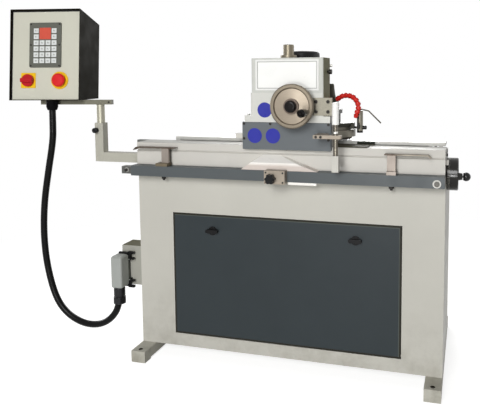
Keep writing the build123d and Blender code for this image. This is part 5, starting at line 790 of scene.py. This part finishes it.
def grinding_finishes():
    """Spindle, grinding wheel and guard, its drive, and what leads coolant to it."""
    beside_tube = any_of(
        before(NOZZLE_FRONT_Y), right_of(NOZZLE_RIGHT_X), left_of(NOZZLE_LEFT_X), below(NOZZLE_FOOT_Z),
    )
    return {
        ("spindle_housing",): finish("spindle_enamel", enamel(tone(62, 62, 50))),
        ("wheel_chuck", "spindle", "motor_pulley"): finish(
            "turned_steel",
            metal(tone(120, 116, 106), roughness=0.38, lines=(60.0, 60.0, 900.0), metallic=0.6),
        ),
        ("wheel_guard", "head_slide"): finish("guard_enamel", enamel(tone(60, 59, 52))),
        ("grinding_segments",): finish("abrasive_ring", grit(tone(96, 90, 84))),
        ("drive_belt",): finish("belt_rubber", plastic(tone(32, 32, 32), roughness=0.7)),
        ("drive_motor",): finish("motor", enamel(tone(124, 128, 128)), (above(COWL_FOOT_Z), BLACK)),
        ("nozzle_tube",): finish(
            "nozzle_steel", metal(tone(128, 124, 112), roughness=0.40, lines=(900.0, 900.0, 30.0)),
            (beside_tube, BLACK),
        ),
        ("coolant_hose",): finish("red_hose", plastic(tone(206, 40, 32), roughness=0.34, dust=0.04)),
    }


def pendant_finishes():
    """Arm, post and box of the control pendant, with its panel."""
    cross_tube = above(CROSS_TUBE_FOOT_Z)
    cross_screw = past(PENDANT_FRONT, CROSS_SCREW_OUT, (*PENDANT_AXIS, 0))
    # Black strips along the panel's left and top edges: painted shade of the box's rim
    panel_edge_shade = any_of(
        past(-PANEL_ALONG, PANEL_LEFT_EDGE, PANEL_AT), past(PANEL_UP, PANEL_TOP_EDGE, PANEL_AT),
    )
    display = all_of(
        past(PANEL_ALONG, -DISPLAY_HALF_W, PANEL_AT), past(-PANEL_ALONG, -DISPLAY_HALF_W, PANEL_AT),
        past(PANEL_UP, DISPLAY_FOOT, PANEL_AT), past(-PANEL_UP, -DISPLAY_TOP, PANEL_AT),
    )
    return {
        ("pendant_arm",): finish("arm_enamel", enamel(tone(182, 180, 168))),
        ("pendant_post",): finish(
            "post_steel", metal(tone(172, 169, 153), roughness=0.40, metallic=0.6),
            (cross_tube, enamel(tone(122, 120, 105))),
            # Black on the cross tube under the box: painted shade under the box
            (all_of(above(UNDER_BOX_Z), left_of(UNDER_BOX_X)), BLACK),
            (all_of(cross_tube, cross_screw), SCREWS),
        ),
        ("pendant_box",): finish(
            "pendant_enamel", enamel(tone(32, 30, 23), roughness=0.60, blotch=0.08),
            (below(GLAND_TOP_Z), BLACK),
            shine=0.012,
        ),
        ("pendant_panel",): finish(
            "panel_enamel", enamel(tone(206, 205, 190)),
            (panel_edge_shade, BLACK),
            (past(PANEL_OUT, PANEL_FACE_OUT, PANEL_AT), plastic(tone(238, 190, 22), roughness=0.36)),
        ),
        ("keypad_bezel",): finish(
            "bezel", plastic(tone(95, 96, 88), roughness=0.5),
            (past(PANEL_OUT, BEZEL_FACE_OUT, PANEL_AT), SCREWS),
        ),
        ("keypad_keys",): finish(
            "keys", plastic(tone(222, 225, 223), roughness=0.35, dust=0.04),
            (key_marks, plastic(tone(150, 152, 150), roughness=0.4)),
            (display, plastic(tone(208, 86, 68), roughness=0.30, grain=0.0)),
        ),
        ("switch_knob",): finish("red_knob", plastic(tone(184, 22, 30), roughness=0.32, dust=0.03)),
        ("stop_button",): finish("red_button", plastic(tone(218, 34, 38), roughness=0.32, dust=0.03)),
    }


def plug_finishes():
    """Conduit, and the plug on the junction box."""
    return {
        ("connector_hood",): finish(
            "hood_casting", enamel(tone(168, 171, 167), roughness=0.48, peel=0.0001),
            (
                below(PLUG_GLAND_TOP_Z),
                metal(tone(46, 46, 48), roughness=0.2, stain=0.02, metallic=0.6, cut=0.0),
            ),
        ),
        ("junction_box",): finish(
            "junction_enamel", enamel(tone(168, 167, 158)),
            # Dark olive on the top: painted shade, as little light falls on it from above
            (above(JUNCTION_TOP_Z), enamel(tone(86, 83, 58))),
            (before(SOCKET_Y), BLACK),
            (before(SOCKET_RIM_Y), enamel(tone(120, 124, 118), peel=0.0001)),
            shine=0.05,
        ),
        ("control_conduit",): finish(
            "conduit_jacket", plastic(tone(10, 10, 10), roughness=0.24, grain=0.00002), shine=0.12,
        ),
    }


def shared_finishes():
    """Finishes of small pieces that sit in several places."""
    return {
        ("feeler_wire", "swivel_chain", "feed_screw", "limit_switch"): finish("dark_steel", DARK_STEEL),
        ("mast_clamp", "bracket_knob", "latch_left", "latch_right", "upper_lever", "lower_lever"): finish(
            "black_plastic", BLACK, shine=0.16,
        ),
    }


def soften(piece, width):
    """Rounds the sharp edges of a CAD node by modifiers, so that they catch light."""
    weld = piece.modifiers.new("weld", "WELD")
    weld.merge_threshold = WELD_DISTANCE
    flat = piece.modifiers.new("flat", "DECIMATE")
    flat.decimate_type = "DISSOLVE"
    flat.angle_limit = math.radians(FLAT_ANGLE)
    bevel = piece.modifiers.new("bevel", "BEVEL")
    bevel.width = width
    bevel.segments = ROUNDING_SEGMENTS
    bevel.limit_method = "ANGLE"
    bevel.angle_limit = math.radians(SHARP_ANGLE)
    normals = piece.modifiers.new("normals", "WEIGHTED_NORMAL")
    normals.keep_sharp = True


def dress_nodes():
    """Gives every CAD node its material, and the thick ones rounded edges."""
    groups = (
        cabinet_finishes, bed_finishes, rail_finishes, carriage_finishes, handle_finishes,
        grinding_finishes, pendant_finishes, plug_finishes, shared_finishes,
    )
    for group in groups:
        for members, material in group().items():
            for name in members:
                slots = nodes[name].data.materials
                slots.clear()
                slots.append(material)
    for width, members in ROUNDED.items():
        for name in members:
            soften(nodes[name], width)


def make_conduit():
    """The conduit as a tube along one smooth curve, bending between the pendant and the base."""
    curve = bpy.data.curves.new("conduit_line", "CURVE")
    curve.dimensions = "3D"
    curve.resolution_u = CONDUIT_STEPS_ALONG
    line = curve.splines.new("NURBS")
    last = len(CONDUIT_ROUTE) - 1
    line.points.add(last)
    for k, (x, z) in enumerate(CONDUIT_ROUTE):
        y = CONDUIT_START_Y + (CONDUIT_END_Y - CONDUIT_START_Y) * k / last
        if k < CONDUIT_END_POINTS:
            y = CONDUIT_START_Y
        if k > last - CONDUIT_END_POINTS:
            y = CONDUIT_END_Y
        line.points[k].co = (x, y, z, 1)
    line.order_u = 3
    line.use_endpoint_u = True
    holder = bpy.data.objects.new("conduit_line", curve)
    scene.collection.objects.link(holder)
    bpy.context.view_layer.update()
    bare = bpy.data.meshes.new_from_object(holder)
    curve.bevel_depth = CONDUIT_DIAMETER / 2
    curve.bevel_resolution = CONDUIT_STEPS_ROUND
    curve.use_fill_caps = True
    bpy.context.view_layer.update()
    tube = bpy.data.meshes.new_from_object(holder)
    bpy.data.objects.remove(holder)
    for face in tube.polygons:
        face.use_smooth = True
    piece = bpy.data.objects.new("conduit", tube)
    scene.collection.objects.link(piece)
    tube.materials.clear()
    tube.materials.append(nodes["control_conduit"].data.materials[0])
    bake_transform(piece)
    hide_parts("control_conduit")


def make_camera():
    """The camera that the photograph was taken with."""
    yaw, pitch, roll = (math.radians(a) for a in (CAMERA_YAW, CAMERA_PITCH, CAMERA_ROLL))
    ahead = Vector((-math.sin(yaw) * math.cos(pitch), math.cos(yaw) * math.cos(pitch), -math.sin(pitch)))
    level = Vector((math.cos(yaw), math.sin(yaw), 0))
    rise = level.cross(ahead)
    right = level * math.cos(roll) + rise * math.sin(roll)
    up = rise * math.cos(roll) - level * math.sin(roll)
    data = bpy.data.cameras.new("photo_camera")
    data.sensor_fit = "HORIZONTAL"
    data.sensor_width = SENSOR_MM
    data.lens = FOCAL_PIXELS * SENSOR_MM / PHOTO_WIDTH
    data.shift_x = (PHOTO_WIDTH / 2 - PRINCIPAL_PIXEL[0]) / PHOTO_WIDTH
    data.shift_y = (PRINCIPAL_PIXEL[1] - PHOTO_HEIGHT / 2) / PHOTO_WIDTH
    data.clip_end = CAMERA_REACH
    camera = bpy.data.objects.new("photo_camera", data)
    turn = Matrix((right, up, -ahead)).transposed().to_4x4()
    camera.matrix_world = Matrix.Translation(CAMERA_AT) @ turn
    scene.collection.objects.link(camera)
    scene.camera = camera


def area_light(name, at, aim, size, power):
    data = bpy.data.lights.new(name, "AREA")
    data.shape = "DISK"
    data.size = size
    data.energy = power
    lamp = bpy.data.objects.new(name, data)
    lamp.location = at
    lamp.rotation_mode = "QUATERNION"
    lamp.rotation_quaternion = (Vector(aim) - Vector(at)).to_track_quat("-Z", "Y")
    scene.collection.objects.link(lamp)


def shown_rays(tree):
    """1 for the rays that show the background: camera, glossy and transmission rays."""
    paths = tree.nodes.new("ShaderNodeLightPath")
    result = paths.outputs["Is Camera Ray"]
    for kind in ("Is Glossy Ray", "Is Transmission Ray"):
        either = tree.nodes.new("ShaderNodeMath")
        either.operation = "MAXIMUM"
        tree.links.new(result, either.inputs[0])
        tree.links.new(paths.outputs[kind], either.inputs[1])
        result = either.outputs[0]
    return result


def make_floor():
    """White floor that keeps the machine's shadow."""
    mesh = bpy.data.meshes.new("floor")
    shape = bmesh.new()
    bmesh.ops.create_circle(shape, cap_ends=True, segments=FLOOR_SEGMENTS, radius=FLOOR_RADIUS)
    shape.to_mesh(mesh)
    shape.free()
    floor = bpy.data.objects.new("floor", mesh)
    scene.collection.objects.link(floor)
    ground = Surface("white_floor")
    ground.shader.inputs["Base Color"].default_value = FLOOR_COLOUR
    ground.shader.inputs["Roughness"].default_value = FLOOR_ROUGHNESS
    shown = shown_rays(ground.tree)
    glow = ground.add("ShaderNodeEmission")
    ground.feed(glow.inputs["Strength"], ground.sum_up("MULTIPLY", shown, FLOOR_GLOW))
    lit = ground.add("ShaderNodeAddShader")
    ground.feed(lit.inputs[0], ground.shader.outputs[0])
    ground.feed(lit.inputs[1], glow.outputs[0])
    white = ground.add("ShaderNodeEmission")
    distance = ground.vector("LENGTH", ground.place, (0, 0, 0)).outputs["Value"]
    far = ground.between(distance, SHADOW_FADES_FROM, SHADOW_FADES_TO, 0, 1)
    blend = ground.add("ShaderNodeMixShader")
    ground.feed(blend.inputs[0], ground.sum_up("MULTIPLY", far, shown))
    ground.feed(blend.inputs[1], lit.outputs[0])
    ground.feed(blend.inputs[2], white.outputs[0])
    ground.feed(ground.tree.nodes["Material Output"].inputs["Surface"], blend.outputs[0])
    mesh.materials.append(ground.material)


def make_light():
    """White surroundings, two broad lamps in front and weaker ones behind and at the sides."""
    world = bpy.data.worlds.new("studio")
    scene.world = world
    world.use_nodes = True
    tree = world.node_tree
    sky = tree.nodes["Background"]
    sky.inputs["Color"].default_value = WHITE
    sky.inputs["Strength"].default_value = SKY_STRENGTH
    seen = tree.nodes.new("ShaderNodeBackground")
    seen.inputs["Color"].default_value = WHITE
    choice = tree.nodes.new("ShaderNodeMixShader")
    tree.links.new(shown_rays(tree), choice.inputs[0])
    tree.links.new(sky.outputs[0], choice.inputs[1])
    tree.links.new(seen.outputs[0], choice.inputs[2])
    tree.links.new(choice.outputs[0], tree.nodes["World Output"].inputs["Surface"])
    for lamp in LAMPS:
        area_light(*lamp)


dress_nodes()
make_conduit()
make_camera()
make_floor()
make_light()
scene.view_settings.view_transform = "Standard"
bpy.context.view_layer.update()
